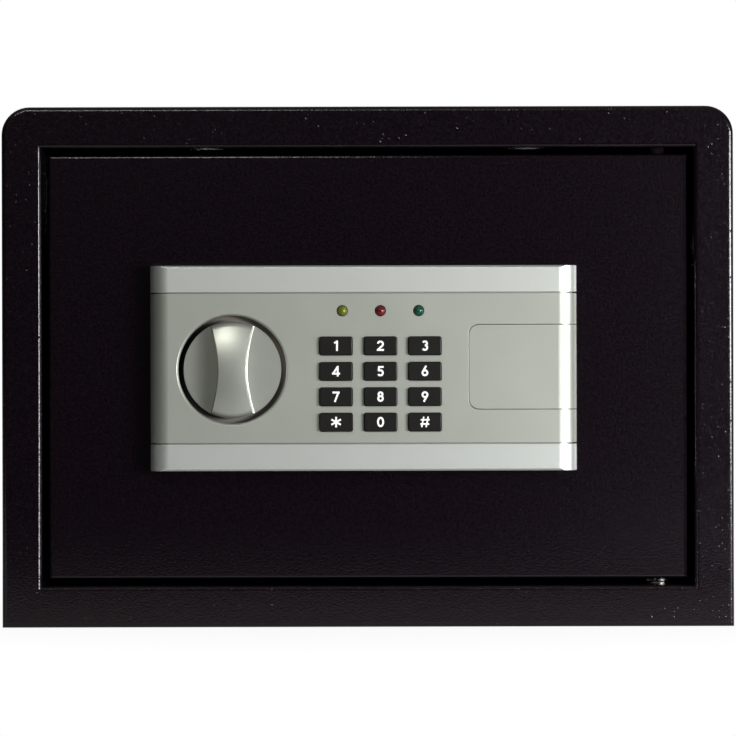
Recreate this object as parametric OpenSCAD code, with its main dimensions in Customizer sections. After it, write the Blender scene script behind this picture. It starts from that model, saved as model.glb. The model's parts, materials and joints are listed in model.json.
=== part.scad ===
// Electronic safe with a keypad door lock.
// +X is to the right seen from the front, the front faces -Y, +Z is up.
// The origin is the centre of the cabinet's bottom face.

/* [Cabinet] */
// Width of the cabinet
body_w = 350; // [330:1:420]
// Depth of the cabinet
body_d = 250; // [230:1:320]
// Height of the cabinet
body_h = 249; // [240:1:320]
// Thickness of the cabinet's sheet steel
sheet_t = 2; // [1.2:0.1:2.2]
// Outer radius of the two top corners
corner_r = 13.4; // [8:0.2:18]
// Bend radius of the front rim's edges
fold_r = 2.4; // [2.3:0.1:4]
// Width of the front rim beside the door
rim_side = 19; // [18:0.5:24]
// Width of the front rim above and below the door
rim_end = 19.8; // [17:0.2:26]
// Depth of the jamb that the rim folds back into
jamb_depth = 20; // [18:0.5:22]
// Depth of the rim's outer skirt, up to the weld to the wrap
skirt_depth = 8; // [6:0.5:12]
// Width of the weld flanges of the bottom and back plates
flange_w = 12; // [8:1:16]
// Thickness of the felt mat
mat_t = 3; // [2:0.5:4]

/* [Anchor holes] */
// Radius of the anchor holes
anchor_r = 5.5; // [4:0.5:7]
// Distance between the two holes in the bottom
base_anchor_span = 200; // [120:5:240]
// Distance between the two holes in the back
wall_anchor_span = 170; // [120:5:240]
// Height of the holes in the back
wall_anchor_h = 190; // [150:5:210]

/* [Door] */
// Gap all round the door
door_gap = 3.2; // [2.8:0.1:4]
// Thickness of the door plate
door_t = 4; // [3:0.25:4.5]
// Depth of the door's face behind the rim
door_recess = 4; // [2:0.5:5]
// Radius of the door's front edges
door_edge_r = 1.6; // [1:0.2:2.4]
// Depth of the box behind the door plate
pan_depth = 40; // [40:1:46]
// Thickness of that box's sheet
pan_t = 1.5; // [1:0.1:2]
// Distance of the box from the door's free edge
pan_inset = 2.3; // [2:0.1:4]
// Distance of the box from the door's top and bottom edges
pan_end_inset = 4; // [2:0.5:6]
// Width of the flange that carries the inner cover
pan_flange = 10; // [9:0.5:11]
// Thickness of the inner cover
inner_cover_t = 1.5; // [1:0.1:2]

/* [Hinge] */
// Distance of the hinge pins from the door's edge
hinge_inset = 14.3; // [13:0.1:16]
// Distance of the hinge pins behind the door plate
hinge_behind = 5; // [4.8:0.1:5.2]
// Radius of the hinge pins
hinge_pin_r = 4; // [3:0.1:4.4]
// Running clearance round the hinge pins
hinge_fit = 0.07; // [0.03:0.01:0.1]
// Width of the hinge blocks
hinge_block_w = 14; // [12:0.5:16]
// Depth of the hinge blocks
hinge_block_d = 11; // [10.5:0.5:14]
// Height of the hinge blocks
hinge_block_h = 30; // [20:1:40]
// Thickness of the plates behind the jamb
hinge_bracket_t = 4; // [3:0.5:6]
// Radius of the upper washer
washer_r = 7.2; // [6:0.1:8]

/* [Control panel] */
// Width of the control panel
panel_w = 203.6; // [200:0.2:220]
// Height of the control panel
panel_h = 97.8; // [94:0.2:110]
// How far the control panel stands off the door
panel_t = 13; // [12.5:0.1:14]
// Panel centre to the left of the cabinet's middle
panel_left = 2; // [0:0.5:6]
// Panel centre below the cabinet's middle
panel_drop = 0.7; // [0:0.1:6]
// Wall of the moulded panel
panel_wall = 2.2; // [1.8:0.1:2.4]
// Radius of the rolled left and right ends
end_r = 9; // [7:0.5:10]
// Height of the top and bottom trim bands
band_h = 13; // [11:0.5:14]
// Thickness of the trim bands
band_t = 2; // [1.5:0.1:2.2]
// Width of the groove beside each band
groove_w = 0.6; // [0.4:0.1:1]

/* [Knob] */
// Knob centre to the left of the panel centre
knob_left = 62.5; // [60:0.5:64]
// Knob centre below the panel centre
knob_down = 0.6; // [0:0.1:2]
// Radius of the round recess
recess_r = 25.7; // [25:0.1:27]
// Radius of the knob's dial
dial_r = 23.3; // [22:0.1:24]
// Thickness of the dial
dial_t = 3.4; // [3:0.1:3.6]
// Depth of the dial's face behind the panel face
dial_sink = 2; // [1:0.1:2.4]
// Height of the grip above the dial
grip_h = 11; // [8:0.5:14]
// Drop of the grip's crown towards its ends
grip_arch = 4.5; // [2:0.5:6]
// Width of the grip at its ends
grip_end_w = 19.6; // [16:0.2:22]
// Width of the grip at its waist
grip_waist_w = 12.5; // [10:0.1:14]
// Radius of the spindle
spindle_r = 5; // [4:0.1:5.5]
// Turn of the knob from open to locked
knob_turn = 90; // [80:1:90]
// Radius at which the crank pin runs
crank_r = 14; // [12:0.1:14.5]
// Radius of the crank pin
crank_pin_r = 3.5; // [2.5:0.1:4]

/* [Keys] */
// Width of a key
key_w = 15.6; // [14:0.1:16.5]
// Height of a key
key_h = 8.6; // [7.5:0.1:9.4]
// Corner radius of a key
key_corner_r = 1; // [0.5:0.1:2]
// Distance between key columns
key_pitch_x = 21.15; // [20.2:0.05:21.5]
// Distance between key rows
key_pitch_z = 12.1; // [11.8:0.05:12.4]
// How far the keys stand out of the panel
key_proud = 1.6; // [1.2:0.1:2.5]
// Travel of the keys
key_travel = 1; // [0.6:0.1:1.1]
// Key block centre to the right of the panel centre
keys_right = 8.05; // [7:0.1:9]
// Key block centre below the panel centre
keys_down = 7.6; // [7:0.1:8.5]

/* [Indicator lamps] */
// Radius of a lamp
lamp_r = 2.5; // [1.5:0.1:2.6]
// Distance between the lamps
lamp_pitch = 18.2; // [15:0.1:20]
// Lamps above the panel centre
lamp_up = 27.3; // [26.5:0.1:28]
// How far the lamp domes stand out
lamp_proud = 1.6; // [1:0.1:2.5]

/* [Key lock] */
// Width of the lift-off cover
lock_cover_w = 51.6; // [48:0.2:52]
// Height of the lift-off cover
lock_cover_h = 40.2; // [38:0.2:44]
// Radius of the cover's left corners
lock_cover_r = 4.9; // [3:0.1:7]
// Thickness of the cover
lock_cover_t = 2; // [1.6:0.1:2.2]
// Radius of the lock's barrel
barrel_r = 9.5; // [8:0.1:10]
// Radius of the turning plug
plug_r = 6; // [5:0.1:7]
// Length of the cam, from the plug's axis
lock_cam_len = 21; // [20:0.1:21.2]

/* [Boltwork] */
// Radius of the locking bolts
bolt_r = 9; // [7:0.1:9.4]
// Length of the locking bolts
bolt_len = 33; // [32:0.5:36]
// Distance between the locking bolts
bolt_span = 110; // [100:1:120]
// Gap between a bolt and the jamb in front of it
bolt_clear = 1; // [0.6:0.1:1.6]
// Thickness of the bolt carriage
carriage_t = 2; // [1.5:0.1:2.2]
// Radius of the posts that guide the carriage
post_r = 3; // [2.5:0.1:3.2]

/* [Solenoid] */
// Radius of the blocking plunger
plunger_r = 4; // [3:0.1:4.2]
// Travel of the blocking plunger
plunger_drop = 6; // [5:0.1:6.5]
// Radius of the plunger's collar
collar_r = 7; // [6.5:0.1:7.4]
// Height of the coil
coil_h = 27; // [22:0.5:30]

/* [Battery box] */
// Number of cells side by side
cell_count = 4; // [2:1:4]
// Radius of a cell
cell_r = 7.1; // [6.8:0.1:7.2]
// Length of a cell
cell_len = 50; // [48:0.5:50.5]
// Wall of the battery box
battery_wall = 1.5; // [1:0.1:1.6]

/* [Hidden] */

$fn = 48;
corner_steps = 12;
fold_steps = 6;
past = 1;

// Colours
paint = [0.07, 0.055, 0.065];
zinc = [0.78, 0.79, 0.78];
silver = [0.68, 0.69, 0.66];
bright_silver = [0.78, 0.8, 0.77];
black_plastic = [0.12, 0.12, 0.12];
board_green = [0.08, 0.32, 0.18];
felt_grey = [0.16, 0.16, 0.17];
silicone_grey = [0.35, 0.36, 0.38];
brass = [0.75, 0.62, 0.35];
copper = [0.62, 0.32, 0.16];
key_black = [0.15, 0.14, 0.14];
cell_blue = [0.2, 0.2, 0.22];
button_red = [0.6, 0.1, 0.1];
yellow_lamp = [0.51, 0.55, 0.16];
red_lamp = [0.51, 0.12, 0.16];
green_lamp = [0.12, 0.35, 0.25];

// Clearances
slide_fit = 0.2;
shaft_fit = 0.05;
seat_gap = 0.3;

// Cabinet
side_x = body_w / 2;
front_y = -body_d / 2;
rear_y = body_d / 2;
skirt_y = front_y + skirt_depth;
jamb_x = side_x - rim_side;
jamb_y = front_y + jamb_depth;
opening_z0 = rim_end;
opening_z1 = body_h - rim_end;
mat_edge = 0.5;
mat_hole_extra = 1;

// Door
door_x = jamb_x - door_gap;
door_z0 = opening_z0 + door_gap;
door_z1 = opening_z1 - door_gap;
face_y = front_y + door_recess;
plate_y = face_y + door_t;
pan_y = plate_y + pan_depth;
cover_y = pan_y + inner_cover_t;
pan_x0 = -door_x + pan_inset;
pan_z0 = door_z0 + pan_end_inset;
pan_z1 = door_z1 - pan_end_inset;
cover_corner_r = 3;
cover_screw_r = 1.9;
cover_screw_len = 6;
cover_screw_head_r = 3.5;
cover_screw_head_h = 2;
cover_margin = 0.5;

// Hinge
hinge_x = door_x - hinge_inset;
hinge_y = plate_y + hinge_behind;
block_gap = 3.5;
pan_x1 = hinge_x - hinge_block_w / 2 - block_gap;
pin_in_block = 22;
pin_tip = 1;
washer_seat = 0.3;
lower_washer_r = washer_r - 0.6;
washer_t = (door_gap - washer_seat) / 2;
bracket_side = 10.5;
bracket_rear = 0.5;

// Control panel
panel_x = -panel_left;
panel_z = body_h / 2 - panel_drop;
panel_x0 = panel_x - panel_w / 2;
panel_x1 = panel_x + panel_w / 2;
panel_z0 = panel_z - panel_h / 2;
panel_z1 = panel_z + panel_h / 2;
panel_y = face_y - panel_t;
mid_z0 = panel_z0 + band_h;
mid_z1 = panel_z1 - band_h;
band_bevel = 0.9;
shelf_inset = band_t + 0.1;
inner_y = panel_y + panel_wall;
screw_inset_x = 9;
screw_inset_z = 9.4;
panel_screw_r = 2;
panel_boss_r = 4;
screw_length = 9;

// Knob and crank
knob_x = panel_x - knob_left;
knob_z = panel_z - knob_down;
recess_wall = 1.8;
recess_floor_y = panel_y + 6.5;
recess_floor_t = 2;
recess_bevel = 0.8;
dial_y = panel_y + dial_sink;
dial_edge = 0.6;
boss_r = 9;
boss_y = recess_floor_y + recess_floor_t + 1;
boss_gap = 0.5;
bush_r = 7;
bush_flange_r = 11;
bush_flange_t = 1.5;
bush_length = 7;
grip_root = 1;
grip_taper = 1.7;
grip_flare = 1.5;
grip_crown = 0.35;
grip_margin = 1.2;
bolt_y = jamb_y + bolt_clear + bolt_r;
carriage_y = bolt_y - 5;
cam_gap = 1;
cam_t = 3;
cam_y = carriage_y - cam_gap - cam_t;
cam_hub_r = 9;
cam_hub_h = 6;
cam_end_r = 6;
cam_link_w = 10;
grub_r = 2;
crank_rest = knob_turn / 2;
crank_x = knob_x + crank_r * sin(crank_rest);
crank_z = knob_z + crank_r * cos(crank_rest);
bolt_throw = 2 * crank_r * sin(crank_rest);
slot_play = 0.6;

// Keys and keypad board
keys_x = panel_x + keys_right;
keys_z = panel_z - keys_down;
key_front_y = panel_y - key_proud;
key_flange = 1;
key_flange_gap = 0.2;
key_flange_t = 0.8;
key_back_y = inner_y + key_flange_gap + key_flange_t;
dome_gap = 0.1;
dome_h = 0.6;
dome_r = 3;
dome_y = key_back_y + key_travel + dome_gap;
mat_sheet_t = 1.2;
board_y = dome_y + dome_h + mat_sheet_t;
board_t = 1.6;
board_margin = 8.5;
board_x0 = keys_x - key_pitch_x - key_w / 2 - board_margin;
board_x1 = keys_x + key_pitch_x + key_w / 2 + board_margin - 1;
board_z0 = mid_z0 + panel_wall + 0.6;
board_z1 = mid_z1 - panel_wall - 0.4;
stake_r = 2.5;
stake_pin_r = 1.2;
stake_inset = 3.2;
stake_head_r = 2.2;
stake_head_t = 1;
mat_margin = 1.8;

// Lamps
lamp_z = panel_z + lamp_up;
lamp_rim_r = 2.9;
lamp_rim_t = 1;
lamp_fit = 0.15;

// Key lock
lock_x = panel_x1 - lock_cover_w / 2;
lock_z = panel_z + 0.5;
pocket_x0 = panel_x1 - lock_cover_w;
pocket_z0 = lock_z - lock_cover_h / 2;
pocket_z1 = lock_z + lock_cover_h / 2;
pocket_wall = 2;
pocket_floor_t = 2;
barrel_front_y = panel_y + 7;
barrel_rear_y = carriage_y - 5;
barrel_fit = 0.1;
barrel_pocket_gap = 1.5;
keyway_w = 2;
keyway_h = 7;
keyway_depth = 18;
nut_af = 26;
nut_t = 5;
plug_stub_r = 3.5;
plug_stub_len = 3.5;
lock_cam_gap = 0.5;
lock_cam_t = 2;
lock_cam_w = 8;
lock_cam_y = barrel_rear_y + lock_cam_gap;
cover_skirt_gap = 0.5;
tab_w = 24;
tab_t = 1.5;
tab_len = 5;

// Boltwork
bolt_tip_x = pan_x0 - 0.5;
bolt_end_x = bolt_tip_x + bolt_len;
bolt_zs = [knob_z - bolt_span / 2, knob_z + bolt_span / 2];
bolt_bevel = 1;
guide_fit = 0.06;
guide_len = 9;
guide_wall = 3;
carriage_z0 = bolt_zs[0] - bolt_r;
carriage_z1 = bolt_zs[1] + bolt_r;
carriage_x1 = crank_x + 20;
bracket_depth = 16;
arm_z0 = knob_z - 25;
arm_z1 = knob_z - 11;
tooth_w = 6;
tooth_h = plunger_drop;
plunger_x = lock_x - lock_cam_len - 3;
tooth_x = plunger_x + (bolt_throw - tooth_w) / 2;
post_x = bolt_end_x + 10;
post_spread = 22;
post_zs = [knob_z - post_spread, knob_z + post_spread];
arm_post_x = panel_x + 12;
arm_post_z = (arm_z0 + arm_z1) / 2;
post_base_r = 5;
post_head_r = 5.5;
post_head_t = 2;
post_gap = 0.4;
carriage_screw_r = 3;
carriage_screw_head_r = 5;
carriage_screw_head_h = 3;
carriage_screw_depth = 8;
window_r = 12;

// Solenoid
plunger_y = carriage_y + carriage_t / 2;
tooth_top = arm_z1 + tooth_h;
plunger_tip = tooth_top + 1;
collar_z = lock_z + lock_cam_w / 2 + seat_gap;
collar_t = 2;
spring_h = 5.7;
spring_wire = 0.35;
spring_turns = 4;
spring_gap = 0.1;
solenoid_z = collar_z + collar_t + spring_h;
solenoid_wall = 1.5;
solenoid_w = 24;
solenoid_d = 20;
coil_z = solenoid_z + solenoid_wall;
coil_r = solenoid_d / 2 - solenoid_wall - 0.1;
coil_bore_r = plunger_r + 0.3;
plunger_top = coil_z + coil_h - 4;
solenoid_post_r = 3.5;
solenoid_post_x = 7;

// Main board
main_w = 56;
main_h = 62;
main_left = 18;
main_up = 4;
main_x0 = panel_x - main_left;
main_x1 = main_x0 + main_w;
main_z0 = panel_z + main_up;
main_z1 = main_z0 + main_h;
main_t = 1.6;
main_stand = 7.4;
main_y = pan_y - main_stand - main_t;
main_post_r = 3;
main_post_inset = 4;
cable_x = panel_x + 14;
cable_z = panel_z + 24;
cable_r = 2.5;
cable_hole_r = 4.5;
plug_block = [12, 6, 8];
chip_block = [16, 3, 16];
chip_at = [12, 34];
capacitor_at = [10, 20];
capacitor_r = 5;
capacitor_h = 9;

// Battery box
battery_x = panel_x + 2;
cell_gap = 0.2;
cell_spare = 1.6;
battery_inner_w = cell_count * (2 * cell_r + cell_gap) + 2 * cell_gap;
battery_inner_h = cell_len + cell_spare;
battery_inner_d = 2 * cell_r + cell_spare;
battery_lip = 3;
battery_flange_t = 1.5;
battery_y = pan_y - battery_inner_d - battery_wall - battery_flange_t;
cell_tip_r = 2.5;
cell_tip_h = 1;
lid_w = battery_inner_w + 2 * battery_wall;
lid_h = battery_inner_h + 2 * battery_wall;
battery_z = pan_z0 + pan_t + pan_flange + mat_edge + battery_lip + lid_h / 2;
lid_hook_w = 10;
lid_hook_t = 1;
lid_hook_len = 2;
lid_rib_w = 1;
lid_rib_len = 30;
lid_rib_pitch = 2;
lid_rib_drop = 14;

// Reset button on the main board
reset_x = main_x0 + 14;
reset_z = main_z0 + 6;
reset_r = 3.5;
reset_proud = 1;
reset_travel = 0.8;
switch_w = 8;
switch_h = 3;
reset_hole_gap = 0.3;

// Points on an arc, both ends included
function arc(cx, cy, r, a0, a1, steps) =
    [for (i = [0:steps])
        let (a = a0 + (a1 - a0) * i / steps)
        [cx + r * cos(a), cy + r * sin(a)]];

// A block between two opposite corners
module block(low, high) {
    translate(low) cube(high - low);
}

// Extrudes an XZ outline along Y
module along_y(y0, y1) {
    translate([0, y1, 0]) rotate([90, 0, 0]) linear_extrude(y1 - y0) children();
}

// Extrudes a YZ outline along X
module along_x(x0, x1) {
    translate([x0, 0, 0]) rotate([90, 0, 90]) linear_extrude(x1 - x0) children();
}

// Extrudes an XY outline along Z
module along_z(z0, z1) {
    translate([0, 0, z0]) linear_extrude(z1 - z0) children();
}

// A round rod along Y
module rod_y(x, z, r, y0, y1) {
    translate([x, y1, z]) rotate([90, 0, 0]) cylinder(h = y1 - y0, r = r);
}

// A round rod along X
module rod_x(y, z, r, x0, x1) {
    translate([x0, y, z]) rotate([0, 90, 0]) cylinder(h = x1 - x0, r = r);
}

// A round rod along Z
module rod_z(x, y, r, z0, z1) {
    translate([x, y, z0]) cylinder(h = z1 - z0, r = r);
}

// A rectangle with four round corners
module round_rect(x0, z0, x1, z1, r) {
    polygon(concat(
        arc(x1 - r, z0 + r, r, -90, 0, fold_steps),
        arc(x1 - r, z1 - r, r, 0, 90, fold_steps),
        arc(x0 + r, z1 - r, r, 90, 180, fold_steps),
        arc(x0 + r, z0 + r, r, 180, 270, fold_steps)));
}

// A straight slot along X
module slot_outline(x0, x1, z, r) {
    translate([x0, z]) circle(r);
    translate([x1, z]) circle(r);
    translate([x0, z - r]) square([x1 - x0, 2 * r]);
}

// The cabinet's outline from the front, drawn in by inset, down to foot
module cabinet_outline(inset, foot) {
    r = corner_r - inset;
    x = side_x - inset;
    top = body_h - inset;
    polygon(concat(
        [[-x, foot], [x, foot]],
        arc(x - r, top - r, r, 0, 90, corner_steps),
        arc(r - x, top - r, r, 90, 180, corner_steps)));
}

// A slab along Z whose two front edges are rounded
module front_rounded_xy(x, y0, y1, r) {
    polygon(concat(
        [[x, y1], [-x, y1]],
        arc(r - x, y0 + r, r, 180, 270, fold_steps),
        arc(x - r, y0 + r, r, 270, 360, fold_steps)));
}

// A slab along X whose two front edges are rounded
module front_rounded_yz(z0, z1, y0, y1, r) {
    polygon(concat(
        [[y1, z1], [y1, z0]],
        arc(y0 + r, z0 + r, r, 270, 180, fold_steps),
        arc(y0 + r, z1 - r, r, 180, 90, fold_steps)));
}

// One top corner of the rim, turned round the corner's own axis
module rim_corner() {
    translate([side_x - corner_r, front_y, body_h - corner_r])
        rotate([-90, 0, 0]) rotate([0, 0, -90]) rotate_extrude(angle = 90)
            polygon(concat(
                [[0, skirt_depth], [0, 0]],
                arc(corner_r - fold_r, fold_r, fold_r, -90, 0, fold_steps),
                [[corner_r, skirt_depth]]));
}

// The rim as a solid, before it is hollowed
module rim_solid() {
    difference() {
        intersection() {
            along_z(0, body_h) front_rounded_xy(side_x, front_y, skirt_y, fold_r);
            along_x(-side_x, side_x) front_rounded_yz(0, body_h, front_y, skirt_y, fold_r);
        }
        for (s = [-1, 1])
            translate([s * side_x - corner_r, front_y - past, body_h - corner_r])
                cube([2 * corner_r, skirt_depth + 2 * past, corner_r + past]);
    }
    rim_corner();
    mirror([1, 0, 0]) rim_corner();
}

// The door opening, flared at the front where the rim folds into the jamb
module opening_cut() {
    flare = fold_r + past;
    intersection() {
        along_z(-past, body_h + past) polygon(concat(
            [[-jamb_x, jamb_y + past], [-jamb_x, front_y + fold_r]],
            arc(-jamb_x - fold_r, front_y + fold_r, fold_r, 0, -90, fold_steps),
            [[-jamb_x - flare, front_y - past], [jamb_x + flare, front_y - past]],
            arc(jamb_x + fold_r, front_y + fold_r, fold_r, 270, 180, fold_steps),
            [[jamb_x, jamb_y + past]]));
        along_x(-side_x - past, side_x + past) polygon(concat(
            [[jamb_y + past, opening_z0]],
            arc(front_y + fold_r, opening_z0 - fold_r, fold_r, 90, 180, fold_steps),
            [[front_y - past, opening_z0 - flare], [front_y - past, opening_z1 + flare]],
            arc(front_y + fold_r, opening_z1 + fold_r, fold_r, 180, 270, fold_steps),
            [[jamb_y + past, opening_z1]]));
    }
}

module front_frame() {
    color(paint) difference() {
        union() {
            difference() {
                rim_solid();
                along_y(front_y + sheet_t, skirt_y + past) cabinet_outline(sheet_t, sheet_t);
            }
            block([-jamb_x - sheet_t, front_y + sheet_t / 2, opening_z0 - sheet_t],
                [jamb_x + sheet_t, jamb_y, opening_z1 + sheet_t]);
        }
        opening_cut();
        rod_z(hinge_x, hinge_y, hinge_pin_r + hinge_fit, opening_z0 - sheet_t - past,
            opening_z1 + sheet_t + past);
    }
}

module cabinet_wrap() {
    color(paint) along_y(skirt_y, rear_y) difference() {
        cabinet_outline(0, 0);
        cabinet_outline(sheet_t, -past);
    }
}

module anchor_pair(span, z, r, y0, y1) {
    for (s = [-1, 1]) rod_y(s * span / 2, z, r, y0, y1);
}

module base_anchor_cuts(r, z0, z1) {
    for (s = [-1, 1]) rod_z(s * base_anchor_span / 2, 0, r, z0, z1);
}

module bottom_plate() {
    x = side_x - sheet_t;
    flange_y1 = rear_y - flange_w - mat_edge;
    color(paint) difference() {
        union() {
            block([-x, skirt_y, 0], [x, rear_y, sheet_t]);
            for (s = [0, 1]) mirror([s, 0, 0])
                block([x - sheet_t, jamb_y + mat_edge, sheet_t], [x, flange_y1, flange_w]);
        }
        base_anchor_cuts(anchor_r, -past, sheet_t + past);
    }
}

module back_plate() {
    color(paint) difference() {
        union() {
            along_y(rear_y - sheet_t, rear_y) cabinet_outline(sheet_t, sheet_t);
            along_y(rear_y - flange_w, rear_y - sheet_t) difference() {
                cabinet_outline(sheet_t, sheet_t);
                cabinet_outline(2 * sheet_t, 2 * sheet_t);
            }
        }
        anchor_pair(wall_anchor_span, wall_anchor_h, anchor_r, rear_y - sheet_t - past,
            rear_y + past);
    }
}

module floor_mat() {
    x = side_x - 2 * sheet_t - mat_edge;
    color(felt_grey) difference() {
        block([-x, jamb_y + mat_edge, sheet_t], [x, rear_y - flange_w - mat_edge,
            sheet_t + mat_t]);
        base_anchor_cuts(anchor_r + mat_hole_extra, sheet_t - past, sheet_t + mat_t + past);
    }
}

// The plate behind the jamb that thickens the pin's bearing
module hinge_bracket(z0, z1) {
    color(paint) difference() {
        block([hinge_x - bracket_side, front_y + sheet_t + bracket_rear, z0],
            [hinge_x + bracket_side, jamb_y - bracket_rear, z1]);
        rod_z(hinge_x, hinge_y, hinge_pin_r + hinge_fit, z0 - past, z1 + past);
    }
}

module upper_hinge_bracket() {
    z = opening_z1 + sheet_t;
    hinge_bracket(z, z + hinge_bracket_t);
}

module lower_hinge_bracket() {
    z = opening_z0 - sheet_t;
    hinge_bracket(z - hinge_bracket_t, z);
}

module washer(r, z) {
    difference() {
        rod_z(hinge_x, hinge_y, r, z, z + washer_t);
        rod_z(hinge_x, hinge_y, hinge_pin_r + washer_seat, z - past, z + washer_t + past);
    }
}

module hinge_washers() {
    color(zinc) {
        washer(lower_washer_r, opening_z0);
        washer(washer_r, opening_z0 + washer_t);
    }
}

module door_panel() {
    color(paint) difference() {
        intersection() {
            along_z(door_z0, door_z1) front_rounded_xy(door_x, face_y, plate_y, door_edge_r);
            along_x(-door_x, door_x)
                front_rounded_yz(door_z0, door_z1, face_y, plate_y, door_edge_r);
        }
        rod_y(knob_x, knob_z, bush_r + shaft_fit, face_y - past, plate_y + past);
        rod_y(lock_x, lock_z, barrel_r + barrel_fit, face_y - past, plate_y + past);
        rod_y(cable_x, cable_z, cable_hole_r, face_y - past, plate_y + past);
        panel_screw_places(panel_screw_r + slide_fit, face_y - past, plate_y + past);
    }
}

module panel_screw_places(r, y0, y1) {
    for (x = [panel_x0 + screw_inset_x, panel_x1 - screw_inset_x],
            z = [panel_z0 + screw_inset_z, panel_z1 - screw_inset_z])
        rod_y(x, z, r, y0, y1);
}

module cover_screw_places(r, y0, y1) {
    inset = pan_t + pan_flange / 2;
    for (x = [pan_x0 + inset, (pan_x0 + pan_x1) / 2, pan_x1 - inset],
            z = [pan_z0 + inset, pan_z1 - inset])
        rod_y(x, z, r, y0, y1);
}

module door_pan() {
    x_in = [pan_x0 + pan_t, pan_x1 - pan_t];
    z_in = [pan_z0 + pan_t, pan_z1 - pan_t];
    color(paint) difference() {
        block([pan_x0, plate_y, pan_z0], [pan_x1, pan_y, pan_z1]);
        block([x_in[0], plate_y - past, z_in[0]], [x_in[1], pan_y - pan_t, z_in[1]]);
        block([x_in[0] + pan_flange, plate_y, z_in[0] + pan_flange],
            [x_in[1] - pan_flange, pan_y + past, z_in[1] - pan_flange]);
        for (z = bolt_zs)
            rod_x(bolt_y, z, bolt_r + seat_gap, pan_x0 - past, pan_x0 + pan_t + past);
        cover_screw_places(cover_screw_r + shaft_fit, pan_y - pan_t - past, pan_y + past);
    }
}

module inner_cover() {
    color(paint) difference() {
        union() {
            along_y(pan_y, cover_y) round_rect(pan_x0 + cover_margin, pan_z0 + cover_margin,
                pan_x1 - cover_margin, pan_z1 - cover_margin, cover_corner_r);
            for (x = [main_x0 + main_post_inset, main_x1 - main_post_inset],
                    z = [main_z0 + main_post_inset, main_z1 - main_post_inset])
                rod_y(x, z, main_post_r, main_y + main_t, pan_y);
        }
        battery_window(slide_fit, pan_y - past, cover_y + past);
        rod_y(reset_x, reset_z, reset_r + reset_hole_gap, pan_y - past, cover_y + past);
        cover_screw_places(cover_screw_r + slide_fit, pan_y - past, cover_y + past);
    }
}

module battery_window(grow, y0, y1) {
    block([battery_x - lid_w / 2 - grow, y0, battery_z - lid_h / 2 - grow],
        [battery_x + lid_w / 2 + grow, y1, battery_z + lid_h / 2 + grow]);
}

module cover_screws() {
    color(zinc) {
        cover_screw_places(cover_screw_r, pan_y - cover_screw_len, cover_y);
        cover_screw_places(cover_screw_head_r, cover_y, cover_y + cover_screw_head_h);
    }
}

module hinge_block(z0) {
    difference() {
        block([hinge_x - hinge_block_w / 2, plate_y, z0],
            [hinge_x + hinge_block_w / 2, plate_y + hinge_block_d, z0 + hinge_block_h]);
        rod_z(hinge_x, hinge_y, hinge_pin_r + shaft_fit, z0 - past,
            z0 + hinge_block_h + past);
    }
}

module hinge_blocks() {
    color(paint) {
        hinge_block(door_z0);
        hinge_block(door_z1 - hinge_block_h);
    }
}

module hinge_pins() {
    reach = door_gap + sheet_t + hinge_bracket_t + pin_tip;
    color(paint) {
        rod_z(hinge_x, hinge_y, hinge_pin_r, door_z0 - reach, door_z0 + pin_in_block);
        rod_z(hinge_x, hinge_y, hinge_pin_r, door_z1 - pin_in_block, door_z1 + reach);
    }
}

// The panel's outline seen from above, drawn in by inset, with rolled ends
module panel_profile(inset) {
    r = end_r - inset;
    polygon(concat(
        [[panel_x1 - inset, face_y], [panel_x0 + inset, face_y]],
        arc(panel_x0 + end_r, panel_y + end_r, r, 180, 270, corner_steps),
        arc(panel_x1 - end_r, panel_y + end_r, r, 270, 360, corner_steps)));
}

module panel_prism(inset, z0, z1) {
    along_z(z0, z1) panel_profile(inset);
}

function key_x(column) = keys_x + (column - 1) * key_pitch_x;
function key_z(row) = keys_z + (1.5 - row) * key_pitch_z;

module key_outline(column, row, grow) {
    w = key_w / 2 + grow;
    h = key_h / 2 + grow;
    x = key_x(column);
    z = key_z(row);
    round_rect(x - w, z - h, x + w, z + h, key_corner_r + grow);
}

module keypad_housing() {
    color(silver) difference() {
        union() {
            panel_prism(0, mid_z0 + groove_w / 2, mid_z1 - groove_w / 2);
            panel_prism(shelf_inset, panel_z0 + shelf_inset, panel_z1 - shelf_inset);
        }
        difference() {
            housing_hollow();
            housing_cores();
        }
        recess_cut();
        pocket_cut();
        for (column = [0:2], row = [0:3])
            along_y(panel_y - past, inner_y + past) key_outline(column, row, slide_fit);
        lamp_places(lamp_r + lamp_fit, panel_y - past, inner_y + past);
        panel_screw_places(panel_screw_r + shaft_fit, face_y - screw_length, face_y + past);
    }
}

module housing_hollow() {
    shelf = shelf_inset + panel_wall;
    panel_cavity(panel_wall, mid_z0 + panel_wall, mid_z1 - panel_wall);
    panel_cavity(shelf, panel_z0 + shelf, panel_z1 - shelf);
}

// What stays solid inside the shell: the knob's cup, the lock's pocket, bosses and stakes
module housing_cores() {
    rod_y(knob_x, knob_z, recess_r + recess_wall, panel_y - past,
        recess_floor_y + recess_floor_t);
    block([pocket_x0 - pocket_wall, panel_y, pocket_z0 - pocket_wall],
        [panel_x1, face_y, pocket_z1 + pocket_wall]);
    panel_screw_places(panel_boss_r, panel_y, face_y);
    board_stakes(stake_r, panel_y, board_y);
    board_stakes(stake_pin_r, board_y - past, board_y + board_t);
    board_stakes(stake_head_r, board_y + board_t, board_y + board_t + stake_head_t);
}

// The panel's hollow, open at the door side
module panel_cavity(inset, z0, z1) {
    panel_prism(inset, z0, z1);
    block([panel_x0 + inset, face_y - past, z0], [panel_x1 - inset, face_y + past, z1]);
}

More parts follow.
